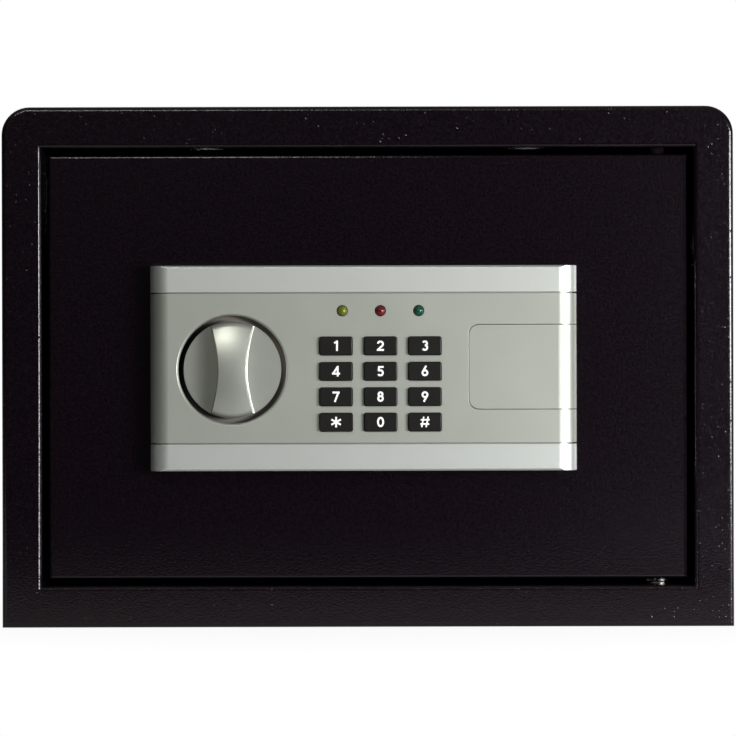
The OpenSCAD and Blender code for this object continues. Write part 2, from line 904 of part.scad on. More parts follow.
module recess_cut() {
    rod_y(knob_x, knob_z, recess_r, panel_y - past, recess_floor_y);
    translate([knob_x, panel_y + recess_bevel, knob_z]) rotate([90, 0, 0])
        cylinder(h = 2 * recess_bevel, r1 = recess_r, r2 = recess_r + 2 * recess_bevel);
    rod_y(knob_x, knob_z, boss_r + boss_gap, recess_floor_y - past,
        recess_floor_y + recess_floor_t + past);
}

module pocket_cut() {
    along_y(panel_y - past, face_y - pocket_floor_t)
        lock_cover_outline(slide_fit, panel_x1 + past);
    block([panel_x1 - lock_cover_t - slide_fit, panel_y, pocket_z0 - slide_fit],
        [panel_x1 + past, face_y + past, pocket_z1 + slide_fit]);
    rod_y(lock_x, lock_z, barrel_r + barrel_pocket_gap, face_y - pocket_floor_t - past,
        face_y + past);
}

// The lift-off cover's outline from the front, with round left corners
module lock_cover_outline(grow, right) {
    x0 = pocket_x0 - grow;
    z0 = pocket_z0 - grow;
    z1 = pocket_z1 + grow;
    r = lock_cover_r;
    polygon(concat(
        [[right, z0], [right, z1]],
        arc(x0 + r, z1 - r, r, 90, 180, fold_steps),
        arc(x0 + r, z0 + r, r, 180, 270, fold_steps)));
}

// The posts that carry the keypad board, with the pins melted over it
module board_stakes(r, y0, y1) {
    for (x = [board_x0 + stake_inset, board_x1 - stake_inset],
            z = [board_z0 + stake_inset, board_z1 - stake_inset])
        rod_y(x, z, r, y0, y1);
}

module upper_trim_band() {
    color(bright_silver) trim_band();
}

module lower_trim_band() {
    color(bright_silver) translate([0, 0, 2 * panel_z]) mirror([0, 0, 1]) trim_band();
}

// The upper band: a cap that follows the panel's rolled ends
module trim_band() {
    z0 = mid_z1 + groove_w / 2;
    difference() {
        intersection() {
            panel_prism(0, z0, panel_z1);
            along_x(panel_x0, panel_x1) polygon([
                [face_y, z0], [panel_y, z0], [panel_y, panel_z1 - band_bevel],
                [panel_y + band_bevel, panel_z1], [face_y, panel_z1]]);
        }
        panel_prism(band_t, z0 - past, panel_z1 - band_t);
        block([panel_x0 + band_t, face_y - past, z0 - past],
            [panel_x1 - band_t, face_y + past, panel_z1 - band_t]);
    }
}

module panel_screws() {
    color(zinc) {
        panel_screw_places(panel_screw_r, face_y - screw_length + seat_gap, plate_y);
        panel_screw_places(2 * panel_screw_r, plate_y, plate_y + panel_screw_r);
    }
}

module spindle_bush() {
    color(brass) difference() {
        union() {
            rod_y(knob_x, knob_z, bush_flange_r, face_y - bush_flange_t, face_y);
            rod_y(knob_x, knob_z, bush_r, face_y, face_y + bush_length);
        }
        rod_y(knob_x, knob_z, spindle_r + shaft_fit, face_y - bush_flange_t - past,
            face_y + bush_length + past);
    }
}

module key_mat() {
    w = key_w / 2 + mat_margin;
    h = key_h / 2 + mat_margin;
    color(silicone_grey) {
        block([key_x(0) - w, board_y - mat_sheet_t, key_z(3) - h],
            [key_x(2) + w, board_y, key_z(0) + h]);
        for (column = [0:2], row = [0:3])
            rod_y(key_x(column), key_z(row), dome_r, dome_y, board_y - mat_sheet_t / 2);
    }
}

module keypad_board() {
    color(board_green) difference() {
        union() {
            block([board_x0, board_y, board_z0], [board_x1, board_y + board_t, board_z1]);
            block([cable_x - plug_block[0] / 2, board_y + board_t, cable_z - plug_block[2] / 2],
                [cable_x + plug_block[0] / 2, face_y - seat_gap, cable_z + plug_block[2] / 2]);
        }
        board_stakes(stake_pin_r + slide_fit, board_y - past, board_y + board_t + past);
    }
}

module lamp_places(r, y0, y1) {
    for (i = [-1:1]) rod_y(keys_x + i * lamp_pitch, lamp_z, r, y0, y1);
}

module lamp(i) {
    x = keys_x + i * lamp_pitch;
    tip = panel_y - lamp_proud;
    rod_y(x, lamp_z, lamp_r, tip + lamp_r, board_y);
    rod_y(x, lamp_z, lamp_rim_r, board_y - lamp_rim_t, board_y);
    translate([x, tip + lamp_r, lamp_z]) sphere(lamp_r);
}

module led_yellow() {
    color(yellow_lamp) lamp(-1);
}

module led_red() {
    color(red_lamp) lamp(0);
}

module led_green() {
    color(green_lamp) lamp(1);
}

module lock_barrel() {
    color(zinc) difference() {
        rod_y(lock_x, lock_z, barrel_r, barrel_front_y, barrel_rear_y);
        rod_y(lock_x, lock_z, plug_r + shaft_fit, barrel_front_y - past,
            barrel_rear_y + past);
    }
}

module lock_nut() {
    color(zinc) difference() {
        translate([lock_x, plate_y + nut_t, lock_z]) rotate([90, 0, 0])
            cylinder(h = nut_t, r = nut_af / sqrt(3), $fn = 6);
        rod_y(lock_x, lock_z, barrel_r + shaft_fit, plate_y - past, plate_y + nut_t + past);
    }
}

module lock_plug() {
    color(brass) difference() {
        union() {
            rod_y(lock_x, lock_z, plug_r, barrel_front_y, barrel_rear_y);
            rod_y(lock_x, lock_z, plug_stub_r, barrel_rear_y, barrel_rear_y + plug_stub_len);
        }
        block([lock_x - keyway_w / 2, barrel_front_y - past, lock_z - keyway_h / 2],
            [lock_x + keyway_w / 2, barrel_front_y + keyway_depth, lock_z + keyway_h / 2]);
    }
}

// The cam hangs down at rest and lifts the plunger's collar when the key turns
module lock_cam() {
    round_r = lock_cam_w / 2;
    color(zinc) difference() {
        union() {
            rod_y(lock_x, lock_z, plug_stub_r + 2, lock_cam_y, lock_cam_y + lock_cam_t);
            block([lock_x - round_r, lock_cam_y, lock_z - lock_cam_len],
                [lock_x + round_r, lock_cam_y + lock_cam_t, lock_z]);
        }
        rod_y(lock_x, lock_z, plug_stub_r + shaft_fit, lock_cam_y - past,
            lock_cam_y + lock_cam_t + past);
    }
}

module lock_cover() {
    skirt = face_y - cover_skirt_gap;
    color(silver) {
        intersection() {
            difference() {
                panel_prism(0, pocket_z0, pocket_z1);
                panel_prism(lock_cover_t, pocket_z0 - past, pocket_z1 + past);
            }
            along_y(panel_y - past, skirt) lock_cover_outline(0, panel_x1 + past);
        }
        for (z = [pocket_z0 + seat_gap, pocket_z1 - seat_gap - tab_t])
            block([lock_x - tab_w / 2, panel_y + lock_cover_t / 2, z],
                [lock_x + tab_w / 2, panel_y + lock_cover_t + tab_len, z + tab_t]);
    }
}

module knob_spindle() {
    color(zinc) rod_y(knob_x, knob_z, spindle_r, dial_y + 2 * shaft_fit + dial_t / 2,
        cam_y + cam_t - seat_gap);
}

// Half the grip's width at the crown, for a place along it from -1 to 1
function grip_half(s) =
    grip_waist_w / 2 + (grip_end_w - grip_waist_w) / 2 * pow(abs(s), grip_taper);
function grip_top(s) = grip_h - grip_arch * s * s;

// One point of the grip's skin: s runs along the grip, t across it
function grip_point(s, t) =
    let (crown = abs(t) < 0.5, w = 2 * abs(t) - 1,
        side = t < 0 ? -1 : 1,
        x = crown ? grip_half(s) * 2 * t : side * (grip_half(s) + grip_flare * pow(w, 3)),
        h = crown ? grip_top(s) - grip_crown * 4 * t * t
            : (grip_top(s) - grip_crown) * pow(1 - w, 2),
        reach = sqrt(pow(dial_r - grip_margin, 2) - x * x))
    [x, -h, s * reach];

module grip() {
    along = 20;
    across = 16;
    row = across + 1;
    half = (along + 1) * row;
    skin = [for (i = [0:along], j = [0:across])
        grip_point(2 * i / along - 1, 2 * j / across - 1)];
    root = [for (p = skin) [p[0], grip_root, p[2]]];
    cells = [for (i = [0:along - 1], j = [0:across - 1]) i * row + j];
    ring = concat(
        [for (j = [0:across - 1]) j],
        [for (i = [0:along - 1]) i * row + across],
        [for (j = [0:across - 1]) half - 1 - j],
        [for (i = [0:along - 1]) half - row - i * row]);
    count = len(ring);
    polyhedron(points = concat(skin, root), faces = concat(
        [for (a = cells) [a, a + row, a + 1]],
        [for (a = cells) [a + 1, a + row, a + row + 1]],
        [for (a = cells) [half + a, half + a + 1, half + a + row]],
        [for (a = cells) [half + a + 1, half + a + row + 1, half + a + row]],
        [for (i = [0:count - 1]) [ring[i], ring[(i + 1) % count], half + ring[i]]],
        [for (i = [0:count - 1])
            [ring[(i + 1) % count], half + ring[(i + 1) % count], half + ring[i]]]));
}

module knob_dial() {
    color(silver) difference() {
        union() {
            rod_y(knob_x, knob_z, dial_r, dial_y + dial_edge, dial_y + dial_t);
            translate([knob_x, dial_y + dial_edge, knob_z]) rotate([90, 0, 0])
                cylinder(h = dial_edge, r1 = dial_r, r2 = dial_r - dial_edge);
            rod_y(knob_x, knob_z, boss_r, dial_y + dial_t, boss_y);
            translate([knob_x, dial_y, knob_z]) grip();
        }
        rod_y(knob_x, knob_z, spindle_r + shaft_fit, dial_y + dial_t / 2, boss_y + past);
    }
}

// The crank: a hub on the spindle, a link, and the pin that drives the carriage
module knob_cam() {
    link = [crank_x - knob_x, crank_z - knob_z];
    color(zinc) difference() {
        union() {
            rod_y(knob_x, knob_z, cam_hub_r, cam_y - cam_hub_h, cam_y + cam_t);
            rod_y(crank_x, crank_z, cam_end_r, cam_y, cam_y + cam_t);
            translate([knob_x, 0, knob_z]) rotate([0, crank_rest, 0])
                block([-cam_link_w / 2, cam_y, 0], [cam_link_w / 2, cam_y + cam_t, norm(link)]);
            rod_y(crank_x, crank_z, crank_pin_r, cam_y + cam_t,
                carriage_y + carriage_t + cam_gap);
        }
        rod_y(knob_x, knob_z, spindle_r + shaft_fit, cam_y - cam_hub_h - past,
            cam_y + cam_t + past);
        rod_x(cam_y - cam_hub_h / 2, knob_z, grub_r + shaft_fit, knob_x,
            knob_x + cam_hub_r + past);
    }
}

module cam_screw() {
    color(zinc) rod_x(cam_y - cam_hub_h / 2, knob_z, grub_r,
        knob_x + spindle_r + 2 * shaft_fit, knob_x + cam_hub_r - seat_gap);
}

module push_key(column, row) {
    color(key_black) {
        along_y(key_front_y, key_back_y) key_outline(column, row, 0);
        along_y(inner_y + key_flange_gap, key_back_y) key_outline(column, row, key_flange);
    }
}

module bolt_guides() {
    size = bolt_r + guide_wall;
    color(black_plastic) for (z = bolt_zs) difference() {
        block([pan_x0 + pan_t, plate_y, z - size],
            [pan_x0 + pan_t + guide_len, bolt_y + size, z + size]);
        rod_x(bolt_y, z, bolt_r + guide_fit, pan_x0 + pan_t - past,
            pan_x0 + pan_t + guide_len + past);
    }
}

module locking_bolts() {
    color(zinc) for (z = bolt_zs) difference() {
        union() {
            rod_x(bolt_y, z, bolt_r, bolt_tip_x + bolt_bevel, bolt_end_x);
            translate([bolt_tip_x + bolt_bevel, bolt_y, z]) rotate([0, -90, 0])
                cylinder(h = bolt_bevel, r1 = bolt_r, r2 = bolt_r - bolt_bevel);
        }
        rod_x(bolt_y, z, carriage_screw_r + shaft_fit,
            bolt_end_x - carriage_screw_depth - seat_gap, bolt_end_x + past);
    }
}

module bolt_screws() {
    x = bolt_end_x + carriage_t;
    color(zinc) for (z = bolt_zs) {
        rod_x(bolt_y, z, carriage_screw_r, bolt_end_x - carriage_screw_depth, x);
        rod_x(bolt_y, z, carriage_screw_head_r, x, x + carriage_screw_head_h);
    }
}

// The sheet that joins both bolts, with the crank's slot and the blocking tooth
module bolt_carriage() {
    rear = carriage_y + carriage_t;
    travel_slot_r = post_r + slide_fit;
    color(zinc) difference() {
        union() {
            block([bolt_end_x, carriage_y, carriage_z0], [carriage_x1, rear, carriage_z1]);
            block([bolt_end_x, carriage_y, carriage_z0],
                [bolt_end_x + carriage_t, carriage_y + bracket_depth, carriage_z1]);
            block([carriage_x1 - past, carriage_y, arm_z0],
                [tooth_x + tooth_w, rear, arm_z1]);
            block([tooth_x, carriage_y, arm_z1 - past], [tooth_x + tooth_w, rear, tooth_top]);
        }
        along_y(carriage_y - past, rear + past) {
            crank_slot();
            for (z = post_zs)
                slot_outline(post_x, post_x + bolt_throw, z, travel_slot_r);
            slot_outline(arm_post_x, arm_post_x + bolt_throw, arm_post_z, travel_slot_r);
            for (z = bolt_zs) translate([carriage_x1 - 2 * window_r, z]) circle(window_r);
        }
        for (z = bolt_zs) {
            rod_x(bolt_y, z, carriage_screw_r + shaft_fit, bolt_end_x - past,
                bolt_end_x + carriage_t + past);
            rod_x(bolt_y, z, carriage_screw_head_r + seat_gap, bolt_end_x + carriage_t,
                bolt_end_x + carriage_t + carriage_screw_head_h + past);
        }
    }
}

module crank_slot() {
    r = crank_pin_r + slot_play;
    translate([crank_x, crank_z - slot_play]) circle(r);
    translate([crank_x, knob_z + crank_r + slot_play]) circle(r);
    translate([crank_x - r, crank_z - slot_play])
        square([2 * r, knob_z + crank_r - crank_z + 2 * slot_play]);
}

// Posts welded to the door plate, whose necks run in the carriage's slots
module guide_posts() {
    color(zinc) {
        for (z = post_zs) guide_post(post_x, z);
        guide_post(arm_post_x, arm_post_z);
    }
}

module guide_post(x, z) {
    neck = carriage_y - post_gap;
    head = carriage_y + carriage_t + post_gap;
    rod_y(x, z, post_base_r, plate_y, neck);
    rod_y(x, z, post_r, neck, head);
    rod_y(x, z, post_head_r, head, head + post_head_t);
}

module solenoid_frame() {
    y0 = plunger_y - solenoid_d / 2;
    y1 = plunger_y + solenoid_d / 2;
    x0 = plunger_x - solenoid_w / 2;
    x1 = plunger_x + solenoid_w / 2;
    top = coil_z + coil_h;
    color(zinc) difference() {
        union() {
            block([x0, y0, solenoid_z], [x1, y1, coil_z]);
            block([x0, y0, top], [x1, y1, top + solenoid_wall]);
            block([x0, y0, solenoid_z], [x1, y0 + solenoid_wall, top + solenoid_wall]);
            for (x = [plunger_x - solenoid_post_x, plunger_x + solenoid_post_x])
                rod_y(x, coil_z + coil_h / 2, solenoid_post_r, plate_y, y0);
        }
        rod_z(plunger_x, plunger_y, coil_bore_r, solenoid_z - past, coil_z + past);
    }
}

module solenoid_coil() {
    color(copper) difference() {
        rod_z(plunger_x, plunger_y, coil_r, coil_z, coil_z + coil_h);
        rod_z(plunger_x, plunger_y, coil_bore_r, coil_z - past, coil_z + coil_h + past);
    }
}

module solenoid_plunger() {
    color(zinc) {
        rod_z(plunger_x, plunger_y, plunger_r, plunger_tip, plunger_top);
        rod_z(plunger_x, plunger_y, collar_r, collar_z, collar_z + collar_t);
    }
}

// A coil spring between the plunger's collar and the solenoid's frame
module plunger_spring() {
    z0 = collar_z + collar_t + spring_wire + spring_gap;
    z1 = solenoid_z - spring_wire - spring_gap;
    r = plunger_r + 2 * spring_wire + spring_gap;
    turn_steps = 12;
    sides = 6;
    rings = spring_turns * turn_steps;
    points = [for (i = [0:rings], k = [0:sides - 1])
        let (a = 360 * i / turn_steps, b = 360 * k / sides, q = r + spring_wire * cos(b))
        [plunger_x + q * cos(a), plunger_y + q * sin(a),
            z0 + (z1 - z0) * i / rings + spring_wire * sin(b)]];
    cells = [for (i = [0:rings - 1], k = [0:sides - 1])
        [i * sides + k, i * sides + (k + 1) % sides]];
    color(zinc) polyhedron(points = points, faces = concat(
        [for (c = cells) [c[0], c[0] + sides, c[1]]],
        [for (c = cells) [c[1], c[0] + sides, c[1] + sides]],
        [[for (k = [0:sides - 1]) k]],
        [[for (k = [0:sides - 1]) rings * sides + sides - 1 - k]]));
}

module main_board() {
    y = main_y;
    color(board_green) {
        block([main_x0, y, main_z0], [main_x1, y + main_t, main_z1]);
        block([cable_x - plug_block[0] / 2, y - plug_block[1], cable_z - plug_block[2] / 2],
            [cable_x + plug_block[0] / 2, y, cable_z + plug_block[2] / 2]);
        translate([main_x0 + chip_at[0], y - chip_block[1], main_z0 + chip_at[1]])
            cube(chip_block);
        rod_y(main_x0 + capacitor_at[0], main_z0 + capacitor_at[1], capacitor_r,
            y - capacitor_h, y);
        block([reset_x - switch_w / 2, y + main_t, reset_z - switch_w / 2],
            [reset_x + switch_w / 2, y + main_t + switch_h, reset_z + switch_w / 2]);
    }
}

module keypad_cable() {
    color(black_plastic)
        rod_y(cable_x, cable_z, cable_r, face_y - seat_gap, main_y - plug_block[1]);
}

module battery_box() {
    w = battery_inner_w / 2;
    h = battery_inner_h / 2;
    flange_y = pan_y - battery_flange_t;
    out_w = w + battery_wall;
    out_h = h + battery_wall;
    color(black_plastic) difference() {
        union() {
            block([battery_x - out_w, battery_y, battery_z - out_h],
                [battery_x + out_w, pan_y, battery_z + out_h]);
            block([battery_x - out_w - battery_lip, flange_y, battery_z - out_h - battery_lip],
                [battery_x + out_w + battery_lip, pan_y, battery_z + out_h + battery_lip]);
        }
        block([battery_x - w, battery_y + battery_wall, battery_z - h],
            [battery_x + w, pan_y + past, battery_z + h]);
    }
}

module battery_cells() {
    y = battery_y + battery_wall + cell_r + slide_fit;
    body = cell_len - cell_tip_h;
    color(cell_blue) for (i = [0:cell_count - 1]) {
        x = battery_x + (i - (cell_count - 1) / 2) * (2 * cell_r + cell_gap);
        up = i % 2 == 0;
        z0 = battery_z - cell_len / 2 + (up ? 0 : cell_tip_h);
        rod_z(x, y, cell_r, z0, z0 + body);
        rod_z(x, y, cell_tip_r, up ? z0 + body - past : z0 - cell_tip_h,
            up ? z0 + cell_len : z0 + past);
    }
}

module battery_lid() {
    w = lid_w / 2;
    h = lid_h / 2;
    color(black_plastic) {
        block([battery_x - w, pan_y, battery_z - h], [battery_x + w, cover_y, battery_z + h]);
        for (x = [-1, 1])
            block([battery_x + x * w / 2 - lid_hook_w / 2, pan_y - lid_hook_len,
                battery_z + h - battery_wall - lid_hook_t - seat_gap],
                [battery_x + x * w / 2 + lid_hook_w / 2, pan_y,
                battery_z + h - battery_wall - seat_gap]);
        for (i = [-2:2])
            translate([battery_x - lid_rib_len / 2, cover_y,
                battery_z - lid_rib_drop + i * lid_rib_pitch])
                cube([lid_rib_len, lid_rib_w, lid_rib_w]);
    }
}

module reset_button() {
    color(button_red)
        rod_y(reset_x, reset_z, reset_r, main_y + main_t + switch_h + reset_travel + dome_gap,
            cover_y + reset_proud);
}

cabinet_wrap();
front_frame();
bottom_plate();
back_plate();
floor_mat();
upper_hinge_bracket();
lower_hinge_bracket();
hinge_washers();
door_panel();
door_pan();
inner_cover();
cover_screws();
hinge_blocks();
hinge_pins();
keypad_housing();
upper_trim_band();
lower_trim_band();
panel_screws();
spindle_bush();
key_mat();
keypad_board();
led_yellow();
led_red();
led_green();
lock_barrel();
lock_nut();
bolt_guides();
guide_posts();
solenoid_frame();
solenoid_coil();
plunger_spring();
main_board();
battery_box();
battery_cells();
keypad_cable();
knob_dial();
knob_spindle();
knob_cam();
cam_screw();
push_key(0, 0);  // key_1
push_key(1, 0);  // key_2
push_key(2, 0);  // key_3
push_key(0, 1);  // key_4
push_key(1, 1);  // key_5
push_key(2, 1);  // key_6
push_key(0, 2);  // key_7
push_key(1, 2);  // key_8
push_key(2, 2);  // key_9
push_key(0, 3);  // key_star
push_key(1, 3);  // key_0
push_key(2, 3);  // key_hash
lock_cover();
lock_plug();
lock_cam();
bolt_carriage();
locking_bolts();
bolt_screws();
solenoid_plunger();
battery_lid();
reset_button();
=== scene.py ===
"""Looks of the electronic safe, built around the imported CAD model. Metres throughout.

+X is to the right seen from the front, the front faces -Y, +Z is up.
"""

import json
import math

import bmesh
import bpy
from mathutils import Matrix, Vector

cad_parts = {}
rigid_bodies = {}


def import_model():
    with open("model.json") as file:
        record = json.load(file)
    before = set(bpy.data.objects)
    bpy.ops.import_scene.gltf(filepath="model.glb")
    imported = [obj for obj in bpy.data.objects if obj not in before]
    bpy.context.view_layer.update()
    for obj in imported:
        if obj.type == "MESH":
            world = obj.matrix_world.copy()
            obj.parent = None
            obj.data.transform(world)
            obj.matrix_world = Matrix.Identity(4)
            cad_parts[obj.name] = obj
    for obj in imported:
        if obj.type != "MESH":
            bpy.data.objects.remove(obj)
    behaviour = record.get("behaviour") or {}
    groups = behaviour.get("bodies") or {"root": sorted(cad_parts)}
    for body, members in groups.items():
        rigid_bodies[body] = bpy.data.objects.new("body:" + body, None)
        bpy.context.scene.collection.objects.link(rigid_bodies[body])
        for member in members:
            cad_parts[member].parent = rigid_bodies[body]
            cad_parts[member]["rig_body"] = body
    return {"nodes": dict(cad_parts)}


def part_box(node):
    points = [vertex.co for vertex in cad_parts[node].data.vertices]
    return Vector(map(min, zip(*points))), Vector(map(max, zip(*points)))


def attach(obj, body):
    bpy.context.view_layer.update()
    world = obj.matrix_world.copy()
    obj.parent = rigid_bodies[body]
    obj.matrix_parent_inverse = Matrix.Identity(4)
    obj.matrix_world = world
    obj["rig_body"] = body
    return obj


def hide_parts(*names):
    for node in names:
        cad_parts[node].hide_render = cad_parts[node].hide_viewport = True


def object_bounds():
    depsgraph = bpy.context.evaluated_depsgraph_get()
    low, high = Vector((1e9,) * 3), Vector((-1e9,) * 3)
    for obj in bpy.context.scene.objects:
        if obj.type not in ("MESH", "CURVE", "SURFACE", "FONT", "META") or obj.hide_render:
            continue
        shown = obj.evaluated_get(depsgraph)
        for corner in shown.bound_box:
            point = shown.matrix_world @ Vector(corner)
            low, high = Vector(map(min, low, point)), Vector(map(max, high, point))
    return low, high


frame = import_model()
cad_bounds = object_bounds()

MM = 0.001


# ---------------------------------------------------------------- materials

def math_node(tree, operation, a, b):
    """The result of a math node of the tree; a is a socket, b a socket or a number."""
    made = tree.nodes.new("ShaderNodeMath")
    made.operation = operation
    tree.links.new(a, made.inputs[0])
    if isinstance(b, float):
        made.inputs[1].default_value = b
    else:
        tree.links.new(b, made.inputs[1])
    return made.outputs["Value"]


class Shade:
    """A material's node tree with short ways to add and join its nodes."""

    def __init__(self, name):
        self.material = bpy.data.materials.new(name)
        self.material.use_nodes = True
        self.tree = self.material.node_tree
        self.shader = self.tree.nodes["Principled BSDF"]
        self.place = self.node("ShaderNodeTexCoord").outputs["Object"]

    def node(self, kind, **settings):
        made = self.tree.nodes.new(kind)
        for key, value in settings.items():
            setattr(made, key, value)
        return made

    def join(self, source, target):
        self.tree.links.new(source, target)

    def set(self, **values):
        names = {
            "metallic": "Metallic", "roughness": "Roughness", "specular": "Specular IOR Level",
            "ior": "IOR", "coat": "Coat Weight", "coat_roughness": "Coat Roughness",
            "sheen": "Sheen Weight", "sheen_roughness": "Sheen Roughness",
            "subsurface": "Subsurface Weight", "subsurface_scale": "Subsurface Scale",
        }
        for key, value in values.items():
            self.shader.inputs[names[key]].default_value = value

    def noise(self, scale, detail=2.0, roughness=0.5, stretch=None):
        made = self.node("ShaderNodeTexNoise")
        made.inputs["Scale"].default_value = scale
        made.inputs["Detail"].default_value = detail
        made.inputs["Roughness"].default_value = roughness
        self.join(self.stretched(stretch), made.inputs["Vector"])
        return made.outputs["Fac"]

    def cells(self, scale):
        """A cell pattern's node, with its Distance and Color outputs."""
        made = self.node("ShaderNodeTexVoronoi")
        made.inputs["Scale"].default_value = scale
        self.join(self.place, made.inputs["Vector"])
        return made

    def stretched(self, stretch):
        if stretch is None:
            return self.place
        made = self.node("ShaderNodeMapping")
        made.inputs["Scale"].default_value = stretch
        self.join(self.place, made.inputs["Vector"])
        return made.outputs["Vector"]

    def ramp(self, source, stops):
        """Blends from one colour to another between two stops of the source."""
        made = self.node("ShaderNodeValToRGB")
        for point, (position, colour) in zip(made.color_ramp.elements, stops):
            point.position = position
            point.color = (*colour, 1)
        self.join(source, made.inputs["Fac"])
        return made.outputs["Color"]

    def range(self, source, low, high, from_low=0.0, from_high=1.0):
        made = self.node("ShaderNodeMapRange")
        made.inputs["From Min"].default_value = from_low
        made.inputs["From Max"].default_value = from_high
        made.inputs["To Min"].default_value = low
        made.inputs["To Max"].default_value = high
        self.join(source, made.inputs["Value"])
        return made.outputs["Result"]

    def maths(self, operation, a, b):
        return math_node(self.tree, operation, a, b)

    def bump(self, height, depth, strength=1.0, before=None):
        """Adds a bump of that depth in metres, on top of an earlier bump if one is given."""
        made = self.node("ShaderNodeBump")
        made.inputs["Strength"].default_value = strength
        made.inputs["Distance"].default_value = depth
        self.join(height, made.inputs["Height"])
        if before is not None:
            self.join(before, made.inputs["Normal"])
        return made.outputs["Normal"]

    def wear(self, source):
        self.join(source, self.shader.inputs["Normal"])

    def feed(self, source, socket):
        self.join(source, self.shader.inputs[socket])


def powder_coat():
    """Near-black textured powder coat: fine grain with an orange peel under it."""
    s = Shade("powder_coat")
    s.set(specular=0.5, ior=1.5)
    tone = s.noise(850, 3, 0.6)
    s.feed(s.ramp(tone, [(0.36, (0.0016, 0.0005, 0.0016)), (0.64, (0.0054, 0.0024, 0.0050))]),
           "Base Color")
    grain = s.noise(1300, 3, 0.6)
    peel = s.noise(1000, 2, 0.5)
    rough = s.noise(900, 2)
    s.feed(s.range(rough, 0.14, 0.20, 0.3, 0.7), "Roughness")
    pimples = s.cells(650)
    cone = s.range(pimples.outputs["Distance"], 1.0, 0.0, 0.04, 0.34)
    few = s.range(pimples.outputs["Color"], 0.0, 1.0, 0.84, 0.98)
    specks = s.maths("MULTIPLY", cone, few)
    coat = s.bump(grain, 0.000085, 0.7, s.bump(peel, 0.00009, 0.65))
    s.wear(s.bump(specks, 0.00030, 1.0, coat))
    return s.material


def silver_paint(name, low, high, roughness, metallic):
    """Metallic silver paint on moulded plastic, with fine flakes."""
    s = Shade(name)
    s.set(metallic=metallic, specular=0.5, coat=0.35, coat_roughness=0.16)
    s.feed(s.ramp(s.noise(30, 2), [(0.3, low), (0.7, high)]), "Base Color")
    s.feed(s.range(s.noise(700, 2), roughness - 0.015, roughness + 0.015, 0.3, 0.7), "Roughness")
    s.wear(s.bump(s.noise(90, 1), 0.00001, 0.3))
    return s.material


def dull_paint():
    """Powder coat without sheen, on the door plate's side faces and the hinge pins."""
    s = Shade("dull_paint")
    s.set(specular=0.0)
    s.feed(s.ramp(s.noise(500, 3), [(0.3, (0.003, 0.002, 0.003)), (0.7, (0.007, 0.005, 0.006))]),
           "Base Color")
    s.feed(s.range(s.noise(900, 2), 0.6, 0.8), "Roughness")
    s.wear(s.bump(s.noise(1200, 2), 0.00003, 0.4))
    return s.material


def shaded_washer_steel():
    """Steel much darker than zinc plating, as painted shade that keeps the washers' glints dim; its
    tone varies at random.
    """
    s = Shade("shaded_washer_steel")
    s.set(metallic=1.0)
    s.feed(s.ramp(s.noise(900, 3), [(0.3, (0.085, 0.083, 0.078)), (0.7, (0.125, 0.122, 0.113))]),
           "Base Color")
    s.feed(s.range(s.noise(700, 2), 0.10, 0.17, 0.3, 0.7), "Roughness")
    s.wear(s.bump(s.noise(1800, 2), 0.00001, 0.2))
    return s.material


def recess_painted_shade():
    """Painted shade on the moulding of the knob's recess, wall and bottom: near black on its left,
    brown-grey to its right.
    """
    s = Shade("recess_painted_shade")
    s.set(specular=0.1)
    low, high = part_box("knob_dial")
    split = s.node("ShaderNodeSeparateXYZ")
    s.join(s.place, split.inputs["Vector"])
    # painted shade: a ramp across the recess from near black at its left to brown-grey, over 0.6 of
    # the dial's width
    across = s.range(split.outputs["X"], 0.0, 1.0, low.x, low.x + 0.6 * (high.x - low.x))
    s.feed(s.ramp(across, [(0.0, (0.004, 0.004, 0.004)), (1.0, (0.22, 0.197, 0.18))]),
           "Base Color")
    s.feed(s.range(s.noise(600, 2), 0.5, 0.7), "Roughness")
    s.wear(s.bump(s.noise(1500, 2), 0.00002, 0.3))
    return s.material


def key_plastic():
    s = Shade("key_plastic")
    s.set(specular=0.25)
    s.feed(s.ramp(s.noise(90, 2), [(0.3, (0.0055, 0.0048, 0.0048)),
                                   (0.7, (0.0075, 0.0068, 0.0064))]), "Base Color")
    s.feed(s.range(s.noise(900, 2), 0.36, 0.44), "Roughness")
    s.wear(s.bump(s.noise(1800, 2), 0.00001, 0.4))
    return s.material


def key_print():
    s = Shade("key_print")
    s.set(roughness=0.5, specular=0.4)
    s.feed(s.ramp(s.noise(1200, 2), [(0.3, (0.86, 0.87, 0.87)), (0.7, (0.94, 0.95, 0.95))]),
           "Base Color")
    s.wear(s.bump(s.noise(3000, 2), 0.00003, 0.2))
    return s.material


def dark_plastic():
    s = Shade("dark_plastic")
    s.set(specular=0.45)
    s.feed(s.ramp(s.noise(60, 2), [(0.3, (0.012, 0.012, 0.013)), (0.7, (0.018, 0.018, 0.019))]),
           "Base Color")
    s.feed(s.range(s.noise(600, 2), 0.42, 0.58), "Roughness")
    s.wear(s.bump(s.cells(1300).outputs["Distance"], 0.00006, 0.5))
    return s.material


def lamp_resin(name, dark, light):
    """Tinted epoxy of an unlit lamp, clear over a milky body."""
    s = Shade(name)
    s.set(roughness=0.10, specular=0.4, subsurface=0.15, subsurface_scale=0.0015)
    s.feed(s.ramp(s.noise(700, 1), [(0.35, dark), (0.65, light)]), "Base Color")
    return s.material


def zinc_plate():
    """Bright zinc plating, with faint spangle and a drawn grain."""
    s = Shade("zinc_plate")
    s.set(metallic=1.0, specular=0.5)
    s.feed(s.ramp(s.cells(420).outputs["Color"],
                  [(0.2, (0.50, 0.51, 0.51)), (0.8, (0.62, 0.62, 0.60))]), "Base Color")
    s.feed(s.range(s.noise(260, 3), 0.22, 0.32, 0.3, 0.7), "Roughness")
    s.wear(s.bump(s.noise(900, 2, stretch=(1, 1, 0.08)), 0.00004, 0.3))
    return s.material


